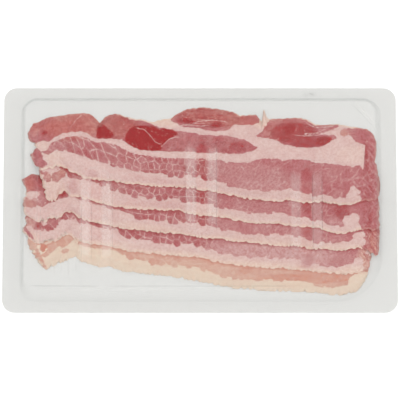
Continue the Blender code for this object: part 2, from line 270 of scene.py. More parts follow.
RIGHT_END = {
    1: (
        (0, 105.5), (0.04, 108.2), (0.14, 108.5), (0.3, 108.9), (0.36, 108.2), (0.46, 108.1),
        (0.53, 107.5), (0.59, 106.6), (0.66, 107.1), (0.8, 107.8), (0.9, 107.4), (0.96, 105.6), (1, 102),
    ),
    2: (
        (0, 105.5), (0.04, 108.4), (0.12, 108.9), (0.2, 108.3), (0.28, 108.8), (0.45, 108.7), (0.9, 106),
        (1, 101),
    ),
    3: ((0, 105.2), (0.04, 108), (0.12, 108.5), (0.45, 108.9), (0.85, 106), (1, 101)),
    4: ((0, 99), (0.04, 102.2), (0.11, 102.6), (0.17, 103.3), (0.34, 102.2), (0.6, 104), (1, 100)),
    5: ((0, 94), (0.03, 96.5), (0.08, 98.6), (0.22, 101.4), (0.3, 102.2), (0.8, 103.5), (1, 99)),
}

# The height of the streaky lean's lower edge above the front edge: (x, width of the front fat).
FRONT_FAT = (
    (-110, 8), (-85, 9), (-75, 11.6), (-51, 10.4), (-44, 8.4), (-36, 6.6), (-26, 6.4), (-12, 6.3), (0, 7),
    (18, 5.2), (50, 5.9), (59, 5.8), (70, 4), (80, 3.6), (88, 4.6), (94, 5), (97, 3), (98.6, -2),
    (110, -3),
)

# Rasher 1's seam of fat between its back muscles and its streaky lean: (x, seen height).
SEAM_BACK = (
    (-110, 33.6), (-101, 34.2), (-98.5, 36.2), (-95, 36.9), (-92, 36.6), (-88.5, 39.2), (-84, 41.1),
    (-74, 42.6), (-69, 41.6), (-65, 39.2), (-60, 38.2), (-51, 38), (-47, 37), (-43, 34.2), (-38, 31.7),
    (-30, 30.7), (-5, 29.8), (10, 29), (28, 29.4), (33, 31), (37, 34),
)
SEAM_FRONT = (
    (-110, 32), (-98.5, 31.4), (-96, 30.4), (-93, 31.6), (-91, 35), (-87, 37.2), (-75, 39.7), (-70, 39.1),
    (-65, 36.3), (-57, 35.6), (-51, 34), (-46, 31.4), (-40, 29), (-33, 27.7), (-23, 26.3), (4, 25.4),
    (18, 24), (29, 24), (38, 25.5), (54, 25.5), (66, 24.7), (76, 22.9), (88, 22), (93, 21.2),
    (97.5, 21.8), (99.8, 22.8), (100.3, 29), (100.8, 34), (104, 34), (110, 31),
)
# The upper limit of rasher 1's dark back muscle: (x, seen height).
MUSCLE_TOP = (
    (-110, 60), (-56, 60), (-50, 54.2), (-46, 51.6), (-40, 50.1), (-35, 49.2), (-24, 45.4), (-8, 42.4),
    (0, 40.9), (10, 40.2), (18, 39.9), (29, 36.4), (33, 33.8), (36, 31.5), (37, 29),
)
# Outlines of rasher 1's separate muscles: the two round ones at its back edge and the right end's.
EYES = (
    (
        (-18, 50), (-14, 47.6), (-9, 45.3), (-2, 45.2), (5, 43.1), (12, 42.9), (17.5, 44), (21, 46.8),
        (26, 46.6), (31, 46.9), (35, 47.8), (36.8, 50.2), (34.6, 53.2), (29, 53.2), (24, 52.8),
        (19, 55.6), (10, 58.6), (2, 59), (-8, 58.2), (-14, 54.5),
    ),
    (
        (34.6, 39.8), (40, 38.6), (45.7, 37.6), (48.3, 36.2), (51, 34.8), (56, 33.5), (61.3, 32.6),
        (69.2, 32.6), (75.3, 33.9), (79.6, 36.2), (83, 38.4), (82.4, 40.4), (77, 40.9), (73.4, 41.6),
        (78, 42.8), (83, 45), (84.2, 46.6), (78, 47.3), (72.7, 46.2), (69.2, 47.2), (65.7, 49.5),
        (61.8, 50.8), (57.9, 51.6), (50.9, 51.4), (45.7, 51), (42.2, 49.5), (39.4, 45.4), (37.2, 42.6),
    ),
    (
        (87.8, 44.6), (91.6, 40.6), (95, 36.8), (98.6, 34.9), (103, 33.6), (109, 31), (109.5, 40),
        (107, 45), (99, 46), (93, 44.8),
    ),
)

# Patches are ellipses: (x, seen height, half length, half height, tilt in degrees). These two
# kinds are separate bits of lean and of fat. The kinds below them add a strength, and fade out.
LEAN_PATCHES = {
    1: (
        (-99.2, 26, 3.6, 6.6, 16), (-97, 22.8, 3.8, 2.8, -8), (88, 41.6, 2, 2.3, 0),
        (-52, 22.4, 2.3, 2.1, 0),
    ),
    2: (
        (-92.7, 14, 2.5, 3, 0), (-87.8, 14.5, 2.6, 3, 0), (-84.2, 17.4, 2.9, 3.6, -20),
        (-76.5, 15.6, 5, 1.9, -22), (-59, 9.8, 3, 1.4, -10), (-52.5, 8, 2.5, 2.4, 0),
        (-63, 11.4, 5, 1, -10),
    ),
    3: (
        (-102.5, 11.6, 7, 6, 8), (-98.3, 14, 3, 6, 10), (-103, -1.8, 6.4, 3, 6),
        (-95.6, 1.4, 3, 4.6, -10), (-86, 2.2, 2.4, 1.3, 30), (-91, 0.6, 1.6, 0.8, 0),
        (-60, -2.2, 8, 1.1, -12),
    ),
    4: (
        (-102.5, -13.6, 3.4, 2.6, -10), (-98, -15.6, 2, 2.8, 0), (-96, -17.4, 2, 1.6, 0),
        (-91, -13.2, 3.2, 2.4, 18), (-104.6, -20.2, 1.1, 5.8, 40), (-81, -9.8, 10, 2.6, 4),
        (-59, -15.3, 9, 2.1, -11), (-68, -13.4, 3.4, 0.9, -12), (65.4, -38.4, 3.4, 2.2, 0),
        (99.4, -43, 2.6, 3, 0),
    ),
    5: (
        (-95.2, -29.6, 1.8, 3, 0), (-91, -28.4, 3.4, 1.8, 18), (-86, -25.4, 3.4, 1.7, 30),
        (-80.5, -22.4, 3.4, 2.6, 0), (-62, -28.3, 13, 2, -8), (-97, -35.5, 8.5, 1.3, -64),
        (-82, -31.6, 2.6, 1.4, 20),
    ),
}
FAT_PATCHES = {
    1: (
        (-96.3, 33.7, 3.7, 2.9, -10), (-89, 26, 3.6, 3.6, 20), (92.8, 5.6, 2.3, 2.9, 0),
        (95, 4.6, 2.4, 1.7, 0), (91.6, 1.8, 3.2, 3, 0), (95.6, 1.4, 2.7, 1.7, 0), (95, -0.6, 2, 1.8, 0),
    ),
    2: (
        (89.8, -13, 3.4, 3.6, 0), (93.4, -11.4, 3.4, 3, 0), (92, -16.8, 3.6, 3.4, 0),
        (94.4, -14.8, 2, 3, 0), (-90, 7, 8, 4.2, 0), (-92.6, 19.4, 7, 2.1, -4), (-90.2, 14, 0.5, 3.2, 0),
        (-82, 8.6, 5, 4.6, 0),
    ),
    3: (
        (96, -22.6, 3.8, 2.6, 10), (98.2, -21.6, 2.2, 2, 0), (93.6, -26.4, 4.4, 2.6, 20),
        (98, -26.2, 2.2, 3, 0), (-102.4, 3.2, 5, 2.4, 6), (-84, -2.6, 7, 3.4, 20), (-88, -5, 5, 3, 10),
    ),
    4: (
        (96, -38.6, 3, 3, 20), (93, -42.4, 4.4, 2.4, 10), (97.6, -41.8, 1.6, 2.4, 0),
        (101.8, -32.4, 1.2, 1.4, 0), (102.8, -34.2, 0.8, 0.9, 0),
    ),
    5: ((97, -50.5, 8, 5.5, 25),),
}
# Where rasher 1 presses against the shell above it and so looks darkest: closed outlines.
CONTACTS = (
    (
        (-44.8, 41.5), (-45.2, 36.2), (-40.4, 32.1), (-31.7, 30.4), (-24.8, 30.4), (-22.2, 34.4),
        (-18.7, 37.9), (-13.5, 41.5), (-20.5, 45), (-24.8, 44.2), (-28, 46), (-33, 46.5), (-40.4, 45.9),
    ),
    ((-61.6, 46.6), (-57.6, 45.9), (-52.6, 40.6), (-55, 38.6), (-62.4, 38.4), (-63, 43)),
)
# Thin threads of fat across rasher 1's muscles: points in order of x.
THREADS = (
    ((-38.7, 45), (-33.9, 43.7), (-30.9, 41), (-27, 35.9), (-23.9, 35)),
    ((-23.5, 33), (-22.2, 34.4), (-18.7, 37.9), (-13, 39.3)),
    ((-79, 45.6), (-75.3, 50.4), (-72, 53.6)),
    ((-4, 48.2), (2, 49.4), (9, 49.8), (16, 48.8)),
    ((-14, 46.4), (-8, 47), (0, 46.2), (6, 46.6)),
    ((63.8, 49.4), (67, 47), (71, 45.4), (76, 45.6), (82, 46.2)),
    ((58, 40.4), (66, 40), (72.7, 40.6), (78.8, 42), (84.4, 44.4)),
    ((64, 41.4), (70, 41.8), (75, 43.4), (79, 45.4)),
)
# Where the meat is darker and redder.
DEEP_PATCHES = {
    1: (
        (-50, 45, 14, 9, 0, 0.5), (-20, 37, 12, 8, 0, 0.3), (-9, 49.4, 5.6, 1.9, -4, 1.05),
        (8, 46.8, 12, 2, 0, 0.54), (10, 47, 4, 2, 0, 1), (22, 33.4, 5.5, 3, 0, 0.7),
        (14, 34, 18, 5, -4, 0.45), (1, 35, 2.6, 7, 0, 0.6), (57, 42, 15, 6.6, 0, 0.79),
        (54.5, 44, 4, 3.2, 0, 1.25), (75, 36.8, 5.6, 2.8, 10, 1.15), (1.3, 19, 3.4, 10, 0, 0.45),
        (65.4, 14, 4.2, 10, 0, 0.3), (8, 53, 24, 6, -4, 0.42), (66, 35.5, 12, 3, 4, 0.75),
        (-95, 42, 1.7, 1.1, 8, 1.3), (88, 41.6, 1.4, 1.5, 0, 0.25), (-9, 33.6, 22, 6, 0, 0.43),
        (101.4, 27, 0.8, 9, 0, 0.9), (96.8, 6.6, 1.6, 1.8, 0, 0.5), (-98.5, 24, 4.5, 6, 16, 0.15),
    ),
    2: (
        (-82.5, 20, 3, 1.6, -40, 1), (-76.5, 15.6, 6, 2.2, -20, 0.55), (-62, 11.5, 6, 1.6, -8, 0.4),
        (1.3, 3, 2.8, 4.6, 0, 0.6), (86, -7, 4.8, 5.4, 20, 0.65), (102.9, -12, 1, 7, 0, 0.9),
        (-28, 8, 14, 1.2, 0, 0.35), (65.4, -5, 4, 4.4, 0, 0.5),
    ),
    3: (
        (-98, 12, 2, 6.6, 12, 0.7), (-84, 4, 2.6, 1.6, 10, 1.2), (-28, -7, 20, 1, 0, 0.3),
        (1.5, -13, 3, 3.6, 0, 0.5), (65.4, -20.6, 4.4, 3, 0, 0.45), (103.2, -18.5, 0.7, 2, 0, 1.3),
        (102.4, -24, 1.4, 6, 0, 0.4), (-97, 0.5, 3.5, 4.4, 0, 0.25),
    ),
    4: (
        (-97.6, -15.6, 2.6, 2.6, 0, 0.7), (-80, -10, 8, 2.4, 0, 0.25), (-47, -18, 4, 1.4, 0, 0.6),
        (-64, -15, 2, 1.6, 0, 0.6), (-20, -21, 16, 1.2, 0, 0.5), (7, -24, 3, 1.2, 0, 0.7),
        (30, -26.5, 20, 1, 0, 0.4), (83.5, -37.5, 7, 2.6, 8, 0.35), (66, -36, 3.4, 3.2, 0, 0.4),
    ),
    5: (
        (-95, -29, 2.4, 3.4, 0, 1), (28, -43, 4, 3, 0, 0.45), (66, -48.5, 36, 3.2, 0, 0.5),
        (83, -47.4, 3, 1.4, 0, 0.75),
    ),
}
# Where the lean is paler.
PALE_PATCHES = {
    1: (
        (32, 14, 26, 10, -8, 0.42), (-20, 20, 18, 4, -5, 0.15), (-85, 33, 5, 6, 10, 0.3),
        (-91.6, 31, 3.4, 4, 0, 0.5), (88, 41.6, 3.6, 3.6, 0, 0.7), (91, 43.6, 3, 2.4, 0, 0.5),
    ),
    2: (
        (40, -4, 26, 8, 0, 0.3), (80, -13, 7, 3, 0, 0.3), (-90, 14.4, 5.4, 4.4, 0, 0.7),
        (-62, 10.6, 14, 3.4, -10, 0.6), (-84, 17.4, 3, 3, 0, 0.4),
    ),
    3: (
        (35, -18, 30, 7, 0, 0.24), (80, -24.5, 8, 3, 0, 0.4), (-103, -2, 7, 4, 6, 1.1),
        (-95.6, 1.4, 4, 5, 0, 0.4), (-62, -2, 12, 2.4, -12, 0.5),
    ),
    4: (
        (48, -33.5, 42, 7, -5, 1), (84, -38, 14, 5, 0, 0.6), (101, -37, 6, 10, 0, 1.1),
        (-103, -14, 4, 4, 0, 1.1), (-91, -13, 5, 3, 18, 0.5), (-98, -16, 3, 3, 0, 0.4),
    ),
    5: ((0, -43, 30, 5, -6, 0.5),),
}
# Where the lean is a warmer, browner red.
WARM_PATCHES = {
    1: (
        (-76, 47, 22, 9, 4, 1), (-49, 46.5, 12, 8, -8, 0.85), (10, 52, 28, 6, -6, 0.9),
        (-100, 45.5, 6, 4, 30, 0.8), (50, 45, 16, 8, 0, 0.5), (88, 41, 2.6, 3, 0, 1),
    ),
    2: ((-84.2, 17.4, 3.4, 4, -20, 1), (-90, 14.4, 6, 3, 0, 0.6)),
    3: ((105.5, -25, 4, 10, 0, 1.1), (-104.5, 10, 4, 5, 0, 1), (-105, -2, 4, 3, 0, 0.8)),
    4: ((-104, -14, 4, 3, 0, 0.6), (101, -38, 5, 9, 0, 1.1)),
    5: (),
}

# Where the fat is creamier.
CREAM_PATCHES = {
    1: (
        (-96.6, 34, 5, 4, -10, 0.25), (-89, 26, 5, 5, 20, 0.3), (-22, 49, 9, 3, -6, 0.6),
        (26, 50, 9, 3, -6, 0.3), (39, 51, 7, 6, 20, 0.6), (92, 28, 10, 5, 0, 0.2),
    ),
    2: ((-91, 8, 9, 8, 0, 0.3), (-35, -4, 30, 1.6, -8, 0.2), (10, -9, 14, 2, -8, 0.3)),
    3: ((-30, -18, 24, 2.4, -8, 0.5), (40, -26, 30, 2, -5, 0.4), (85, -29, 12, 2, 0, 0.3)),
    4: (
        (-103, -24, 5, 4, 0, 0.5), (-50, -28, 12, 2, -8, 0.4), (-10, -34, 24, 2, -5, 0.55),
        (30, -40, 40, 2.2, -4, 0.6), (90, -44, 12, 3, 8, 0.6),
    ),
    5: (),
}
# Where the fat is flushed with pink.
BLUSH_PATCHES = {
    1: ((-65.4, 15.6, 3.4, 3.2, 0, 0.3), (68.4, 29, 2.2, 7, 0, 0.14), (-30, 12, 16, 3, -4, 0.14)),
    2: ((-77, 8, 2.6, 5, 0, 0.28), (58, -14.6, 3, 1, 0, 0.2), (-24, -3.5, 20, 3, -4, 0.2)),
    3: ((-77.6, -9, 2.4, 3.4, 0, 0.35), (-30, -19, 24, 1.2, -4, 0.3), (44, -25.5, 26, 2, -5, 0.1)),
    4: ((64.6, -40.4, 3.4, 2.4, 0, 0.4),),
    5: (),
}

# The patches that only colour the meat, by the name of their number, and how softly they fade.
MARKS = {
    "pale": (PALE_PATCHES, 6.0), "warm": (WARM_PATCHES, 6.0),
    "cream": (CREAM_PATCHES, 4.0), "blush": (BLUSH_PATCHES, 3.0),
}

# Lines in the shell, along its creases, rib edges and wall edges: the pale ones are painted highlights
# and the dark ones painted shade, but for the last two dark ones, a greasy smear on the flange. Each is
# start, end, half width, strength.
HIGHLIGHT_LINES = (
    ((92, 60), (106, 44), 0.6, 0.07),
    ((97, 56.4), (107, 40), 0.5, 0.06),
    ((-98.5, 46), (-98.5, -40), 0.5, 0.06),
    ((-96.4, -4), (-96.6, -46), 0.4, 0.08),
    ((-84, -36), (-83.6, -48), 0.6, 0.05),
    ((-79.5, -38), (-79.2, -50), 0.8, 0.06),
    ((-75, -37), (-74.8, -47), 0.5, 0.05),
    ((-88, -42), (-87.8, -50), 0.5, 0.05),
    ((-60, 58.8), (90, 58.4), 0.5, 0.08),
    ((-90, 61), (40, 61.3), 0.4, 0.08),
    ((-100, -57.6), (70, -57.8), 0.5, 0.08),
)
SHADE_LINES_AND_SMEAR = (
    ((9.9, 34), (9.9, -24), 0.4, 0.8),
    ((68.2, 16), (68.4, -34), 0.4, 0.9),
    ((73.9, 12), (73.9, -26), 0.4, 0.9),
    ((-52.9, 8), (-52.9, -38), 0.35, 0.4),
    ((-71.7, -4), (-71.6, -42), 0.35, 0.7),
    ((-65.6, -4), (-65.5, -42), 0.35, 0.6),
    ((-104, -56), (-60, -56.4), 0.6, 0.4),
    ((-60, -56.4), (60, -56.2), 0.6, 0.3),
    ((91, 58), (106.4, 41), 0.5, 0.25),
    ((62.4, 65.4), (72, 66.2), 2.2, 0.2),
    ((66.8, 66.6), (70, 65.6), 0.8, 0.4),
)

# Each rasher's true edges, filled in by lay_edges from the lowest rasher up.
TRUE_FRONT = {}
TRUE_BACK = {}


def smooth_step(value):
    """0 below 0 and 1 above 1, with a smooth rise between them."""
    held = np.clip(value, 0.0, 1.0)
    return held * held * (3.0 - 2.0 * held)


def fading(value):
    """1 below 0 and 0 above 1, with a smooth fall between them."""
    return 1.0 - smooth_step(value)


def between(first, second, share):
    """The point or colour that lies this share of the way from the first to the second."""
    return tuple(a + (b - a) * share for a, b in zip(first, second))


def along_curve(points, at):
    """Heights of a smooth curve through points that run in order of their first number."""
    xs, ys = np.array(points, float).T
    slopes = np.gradient(ys, xs)
    at = np.clip(at, xs[0], xs[-1])
    right = np.clip(np.searchsorted(xs, at), 1, len(xs) - 1)
    left = right - 1
    span = xs[right] - xs[left]
    t = (at - xs[left]) / span
    return (
        (2 * t**3 - 3 * t**2 + 1) * ys[left]
        + (t**3 - 2 * t**2 + t) * span * slopes[left]
        + (3 * t**2 - 2 * t**3) * ys[right]
        + (t**3 - t**2) * span * slopes[right]
    )


def lattice_noise(x, y, cell, seed):
    """Smooth noise from -1 to 1 with features about one cell across."""
    u, v = x / cell, y / cell
    i, j = np.floor(u).astype(np.int64), np.floor(v).astype(np.int64)

    def corner(di, dj):
        """A scrambled number from -1 to 1 for one corner of each square of the lattice."""
        mixed = (i + di) * 374761393 + (j + dj) * 668265263 + seed * 974634777
        mixed = (mixed ^ (mixed >> 13)) * 1274126177
        return ((mixed ^ (mixed >> 16)) & 0xFFFF) / 32767.5 - 1.0

    a, b = smooth_step(u - i), smooth_step(v - j)
    low = corner(0, 0) * (1 - a) + corner(1, 0) * a
    high = corner(0, 1) * (1 - a) + corner(1, 1) * a
    return low * (1 - b) + high * b


def waves(x, y, layers):
    """The height of smooth waves in layers."""
    return sum(height * lattice_noise(x, y, length, seed) for height, length, seed in layers)


def lobes(along, length, seed):
    """Rounded lobes from -1 to 1 with sharp notches between them."""
    from_notch = np.abs(lattice_noise(along, np.zeros(along.shape), length, seed))
    return 2.0 * np.sin(0.5 * math.pi * np.minimum(1.6 * from_notch, 1.0)) - 1.0


def ragged(along, layers, number):
    """How far a ragged edge stands out along its length, different on each rasher."""
    return sum(reach * lobes(along, length, seed + number) for reach, length, seed in layers)


def ellipse_field(x, y, patch):
    """Distance in from the edge of an ellipse, less than zero outside it."""
    centre_x, centre_y, half_length, half_height, tilt = patch[:5]
    turn = math.radians(tilt)
    dx, dy = x - centre_x, y - centre_y
    along = dx * math.cos(turn) + dy * math.sin(turn)
    across = dy * math.cos(turn) - dx * math.sin(turn)
    reach = np.hypot(along / half_length, across / half_height)
    return (1.0 - reach) * min(half_length, half_height)


def polygon_field(x, y, points):
    """Distance in from the edge of a polygon, less than zero outside it."""
    nearest = np.full(x.shape, 1e9)
    inside = np.zeros(x.shape, bool)
    for a, b in zip(points, np.roll(points, -1, axis=0)):
        side = b - a
        length = side.dot(side)
        if length < 1e-12:
            continue
        t = np.clip(((x - a[0]) * side[0] + (y - a[1]) * side[1]) / length, 0, 1)
        nearest = np.minimum(nearest, np.hypot(x - a[0] - t * side[0], y - a[1] - t * side[1]))
        if a[1] != b[1]:
            crosses = (a[1] > y) != (b[1] > y)
            inside ^= crosses & (x < a[0] + (y - a[1]) * side[0] / side[1])
    return np.where(inside, nearest, -nearest)


def rounded_outline(points, steps=4):
    """A closed smooth curve through the points."""
    count = len(points)
    curve = []
    for i in range(count):
        before, here, after, beyond = (np.array(points[(i + k) % count], float) for k in (-1, 0, 1, 2))
        for step in range(steps):
            t = step / steps
            curve.append(
                0.5 * (
                    2 * here
                    + (after - before) * t
                    + (2 * before - 5 * here + 4 * after - beyond) * t**2
                    + (3 * here - before - 3 * after + beyond) * t**3
                )
            )
    return curve


def outline_field(x, y, outline):
    """Distance in from the edge of a smooth closed outline, less than zero outside it."""
    return polygon_field(x, y, np.array(rounded_outline(outline)))


def deepest(patches, x, seen, start):
    """The greatest distance in from the edges of some ellipses, and no less than a starting distance."""
    for patch in patches:
        start = np.maximum(start, ellipse_field(x, seen, patch))
    return start


def strongest(patches, x, seen, softness):
    """The greatest strength of the patches at each point, fading over a width in millimetres."""
    result = np.zeros(x.shape)
    for patch in patches:
        share = smooth_step(0.5 + ellipse_field(x, seen, patch) / softness)
        result = np.maximum(result, patch[5] * share)
    return result


def add_object(name, data):
    """Adds mesh, lamp or camera data to the scene."""
    made = bpy.data.objects.new(name, data)
    bpy.context.scene.collection.objects.link(made)
    return made


def new_mesh(name, verts, faces, finish, values=None):
    """A smooth-shaded mesh from points in millimetres, with named numbers at each point."""
    mesh = bpy.data.meshes.new(name)
    mesh.from_pydata((np.asarray(verts) * MM).tolist(), [], faces)
    mesh.update()
    mesh.shade_smooth()
    mesh.materials.append(finish)
    for value_name, numbers in (values or {}).items():
        layer = mesh.attributes.new(value_name, "FLOAT", "POINT")
        layer.data.foreach_set("value", np.asarray(numbers, np.float32))
    return add_object(name, mesh)


def grid_faces(index):
    """The four-sided faces between the neighbours in a grid of point numbers."""
    corners = (index[:-1, :-1], index[:-1, 1:], index[1:, 1:], index[1:, :-1])
    return np.stack(corners, axis=-1).reshape(-1, 4)


def ring_faces(ring_count, count):
    """The faces between closed rings of points, from the first ring to the last."""
    index = np.arange(ring_count * count).reshape(ring_count, count)
    return grid_faces(np.concatenate([index, index[:, :1]], axis=1)).tolist()


def width_at(number, x):
    """A rasher's width from front to back."""
    if number in TRUE_BACK:
        return along_curve(TRUE_BACK[number], x) - along_curve(TRUE_FRONT[number], x)
    return WIDTH_SHARES[number] * along_curve(BELLY_WIDTH, x)


def squeeze(x):
    """The ends of the stack are pressed flatter under the shoulders of the pack."""
    share = smooth_step((np.abs(x) - SQUEEZE_START) / (SQUEEZE_END - SQUEEZE_START))
    return 1.0 - (1.0 - SQUEEZE_LEAST) * share


def cover(number, x, y):
    """1 over a rasher, falling to 0 within DRAPE_FALL outside it."""
    front = along_curve(TRUE_FRONT[number], x)
    width = width_at(number, x)
    share = np.clip((y - front) / width, 0.0, 1.0)
    inside = (
        y - front,
        front + width - y,
        x - along_curve(LEFT_END[number], share),
        along_curve(RIGHT_END[number], share) - x,
    )
    covered = 1.0
    for distance in inside:
        covered = covered * smooth_step(1.0 + distance / DRAPE_FALL)
    return covered


def underside(number, x, y):
    """The height of a rasher's underside, draped over the rashers beneath it."""
    beneath = sum(cover(lower, x, y) for lower in FRONT if lower > number)
    return MEAT_BASE + (THICKNESS + GAP) * beneath * squeeze(x)


def true_line(number, line):
    """The true (x, y) of a rasher's edge given by its seen height. The rasher is thin there."""
    xs, seen = np.array(line, float).T
    ys = seen
    for _ in range(4):  # the height depends on the place, so both are worked out again until they settle
        ys = seen - SEEN_SHIFT * (underside(number, xs, ys) + EDGE_SHARE * THICKNESS * squeeze(xs))
    return list(zip(xs, ys))


def lay_edges():
    """Works out where each rasher's edges truly are, from the lowest rasher up."""
    for number in sorted(FRONT, reverse=True):
        TRUE_FRONT[number] = true_line(number, FRONT[number])
    TRUE_BACK[1] = true_line(1, FIRST_BACK)


def thread_offset(x, seen):
    """Signed height above the nearest thread of fat, growing past the thread's ends."""
    nearest = np.full(x.shape, FAR)
    for thread in THREADS:
        offset = seen - along_curve(thread, x)
        overrun = np.maximum(thread[0][0] - x, 0.0) + np.maximum(x - thread[-1][0], 0.0)
        offset = offset + np.sign(offset) * 3.0 * overrun
        nearest = np.where(np.abs(offset) < np.abs(nearest), offset, nearest)
    return nearest


def beyond_upper(number, x, seen):
    """How far a point lies outside the rasher above."""
    if number == 1:
        return np.full(x.shape, FAR)
    upper = number - 1
    above_front = seen - along_curve(FRONT[upper], x)
    share = np.clip(above_front / width_at(upper, x), 0.0, 1.0)
    return np.maximum(-above_front, along_curve(LEFT_END[upper], share) - x)


def meat_fields(number, x, seen):
    """The numbers at each point that the meat's finish is worked out from, most of them distances."""
    above_front = seen - along_curve(FRONT[number], x)
    as_first = above_front + along_curve(FRONT[1], x)
    above_fat = above_front - along_curve(FRONT_FAT, x)
    scallops = 0.5 * (1.0 - lobes(x, SCALLOP_LENGTH, SCALLOP_SEED))
    scallops = scallops * smooth_step((x - SCALLOPS_FROM) / 10.0)
    muscle = np.minimum(as_first - along_curve(SEAM_BACK, x), along_curve(MUSCLE_TOP, x) - as_first)
    muscle = np.minimum(muscle, MUSCLE_END - x)
    for outline in EYES:
        muscle = np.maximum(muscle, outline_field(x, as_first, outline))
    deep = strongest(DEEP_PATCHES[number], x, seen, softness=2.6)
    thread = np.full(x.shape, FAR)
    layered = np.full(x.shape, 0.9 * (number == PALE_RASHER))
    if number == 1:
        thread = thread_offset(x, seen)
        layered = smooth_step(outline_field(x, as_first, EYES[0]) / 2.0)
        for outline in CONTACTS:
            pressed = smooth_step(0.5 + outline_field(x, seen, outline) / 1.3)
            deep = np.maximum(deep, CONTACT_STRENGTH * pressed)
    long_bundle = smooth_step((LONG_FROM - x) / LONG_FADE)
    tilted = BUNDLE_LEAN * long_bundle * above_fat / BUNDLE_PITCH
    column = smooth_step((x - COLUMN_START - 0.5 * lattice_noise(x, seen, 4.0, seed=81)) / 1.2)
    marks = {name: strongest(kind[number], x, seen, softness) for name, (kind, softness) in MARKS.items()}
    return {
        "above_fat": above_fat,
        "below_seam": along_curve(SEAM_FRONT, x) - as_first - scallops,
        "muscle": deepest(LEAN_PATCHES[number], x, seen, muscle),
        "fatty": deepest(FAT_PATCHES[number], x, seen, np.full(x.shape, -9.0)),
        "cell_x": along_curve(BUNDLE_COUNT, x) + tilted + CELL_SHIFT * number,
        "cell_y": above_fat / (BUNDLE_PITCH + (LONG_BUNDLE - BUNDLE_PITCH) * long_bundle) + CELL_ROW,
        "fibrous": smooth_step((x - FIBROUS_FROM) / FIBROUS_FADE),
        "column": column * smooth_step((COLUMN_TOP - as_first) / 4.0) * (1.0 - np.minimum(deep, 1.0)),
        "deep": deep,
        **marks,
        "layered": layered,
        "thread": thread,
        "under": beyond_upper(number, x, seen),
    }


def relief_of(fields, x, seen):
    """How far the top stands up or down."""
    streak = np.minimum(fields["above_fat"], fields["below_seam"])
    lean = np.minimum(np.maximum(streak, fields["muscle"]), -fields["fatty"])
    sunk = -LEAN_SUNK * smooth_step(lean / 1.2 + 0.5)
    slant = x * 1.1 - seen * 1.3
    folds = FOLD_HEIGHT * np.sin(slant + 1.4 * lattice_noise(x, seen, 5.0, seed=8)) * fields["column"]
    from_crease = x - CREASE_X - 0.05 * (20.0 - seen)
    crease = np.exp(-((from_crease / CREASE_WIDTH) ** 2)) * smooth_step((CREASE_TOP - seen) / 4.0)
    return sunk + waves(x, seen, MEAT_WAVES) + folds - CREASE_DEPTH * crease


def edge_shares(length, reach, coarse):
    """Shares along a side: close rows at both edges, fine rows to a reach, coarse rows beyond it."""
    last = length - EDGE_ROWS[-1]
    rows = list(np.arange(EDGE_ROWS[-1] + FINE_CELL, min(reach, last - FINE_CELL / 2), FINE_CELL))
    rows += list(np.arange(reach, last - coarse / 2, coarse))
    return np.array([*EDGE_ROWS, *rows, *(length - step for step in reversed(EDGE_ROWS))]) / length


def lay_grid(number):
    """A rasher's points from above, in rows from its front, and how far in from its edges they are."""
    reach = RASHER_WIDTH if number == 1 else FINE_REACH
    share_x, share_y = np.meshgrid(
        edge_shares(RASHER_LENGTH, RASHER_LENGTH, FINE_CELL),
        edge_shares(RASHER_WIDTH, reach, COARSE_CELL),
    )
    left = along_curve(LEFT_END[number], share_y)
    right = along_curve(RIGHT_END[number], share_y)
    x = left + (right - left) * share_x
    width = width_at(number, x)
    from_front, from_back = share_y * width, (1.0 - share_y) * width
    from_end = np.minimum(x - left, right - x)
    front_rag = ragged(x, FRONT_RAG, number) * (1.0 + RAGGED_MORE * smooth_step((RAGGED_LEFT - x) / 6.0))
    y = along_curve(TRUE_FRONT[number], x) + from_front - front_rag * fading(from_front / FRONT_RAG_REACH)
    y = y + ragged(x, BACK_RAG, number) * fading(from_back / BACK_RAG_REACH)
    end_rag = ragged(share_y * END_LENGTH, END_RAG, number) * fading(from_end / END_RAG_REACH)
    x = x + end_rag * np.where(share_x < 0.5, -1.0, RIGHT_END_RAG)
    return x, y, np.minimum(from_front, from_back), from_end


def fullness_of(from_side, from_end):
    """A rasher's thickness as a share of its full thickness: round at its rim and thin near its edges."""
    inset = np.minimum(from_side, from_end)
    fullness = np.sin(0.5 * math.pi * np.clip(inset / EDGE_ROUNDING, 0.0, 1.0))
    fullness = fullness * (EDGE_SHARE + (1.0 - EDGE_SHARE) * smooth_step(from_side / EDGE_TAPER))
    return fullness * (END_SHARE + (1.0 - END_SHARE) * smooth_step(from_end / END_TAPER))


def build_rasher(number, finish):
    """One rasher: a fine top and underside that meet at a rounded, ragged edge."""
    x, y, from_side, from_end = lay_grid(number)
    pressed = squeeze(x)
    low = underside(number, x, y) - FATTER * pressed
    full = (THICKNESS + 2 * FATTER) * pressed
    raised = RIM_LIFT + (full - RIM_LIFT) * fullness_of(from_side, from_end)
    seen = y + SEEN_SHIFT * (low + raised)
    fields = meat_fields(number, x, seen)
    fields["inset"] = np.minimum(from_side, from_end)
    shown = smooth_step(fields["under"] + 0.5)
    relief = relief_of(fields, x, seen) * smooth_step(fields["inset"] / 2.5) * shown
    rim = fields["inset"] <= 0.0
    inner = ~rim
    top = low + raised + np.where(rim, 0.0, relief)
    wall_lean = LEAN["right"] * (top - FLANGE_TOP) / (PACK_TOP - FLANGE_TOP)
    x = np.minimum(x, WELL["right"] - wall_lean - SHELL_THICKNESS - WALL_GAP)

    index = np.arange(x.size).reshape(x.shape)
    below = index.copy()
    below[inner] = x.size + np.arange(inner.sum())
    verts = np.concatenate([
        np.stack([x, y, top], axis=-1).reshape(-1, 3),
        np.stack([x[inner], y[inner], low[inner]], axis=-1),
    ])
    faces = np.concatenate([grid_faces(index), grid_faces(below)[:, ::-1]]).tolist()
    values = {name: np.concatenate([field.reshape(-1), field[inner]]) for name, field in fields.items()}
    rasher = new_mesh(f"bacon_rasher_{number}", verts, faces, finish, values)
    crease_edges(rasher.data, np.concatenate([rim.reshape(-1), np.zeros(inner.sum(), bool)]))
    return rasher


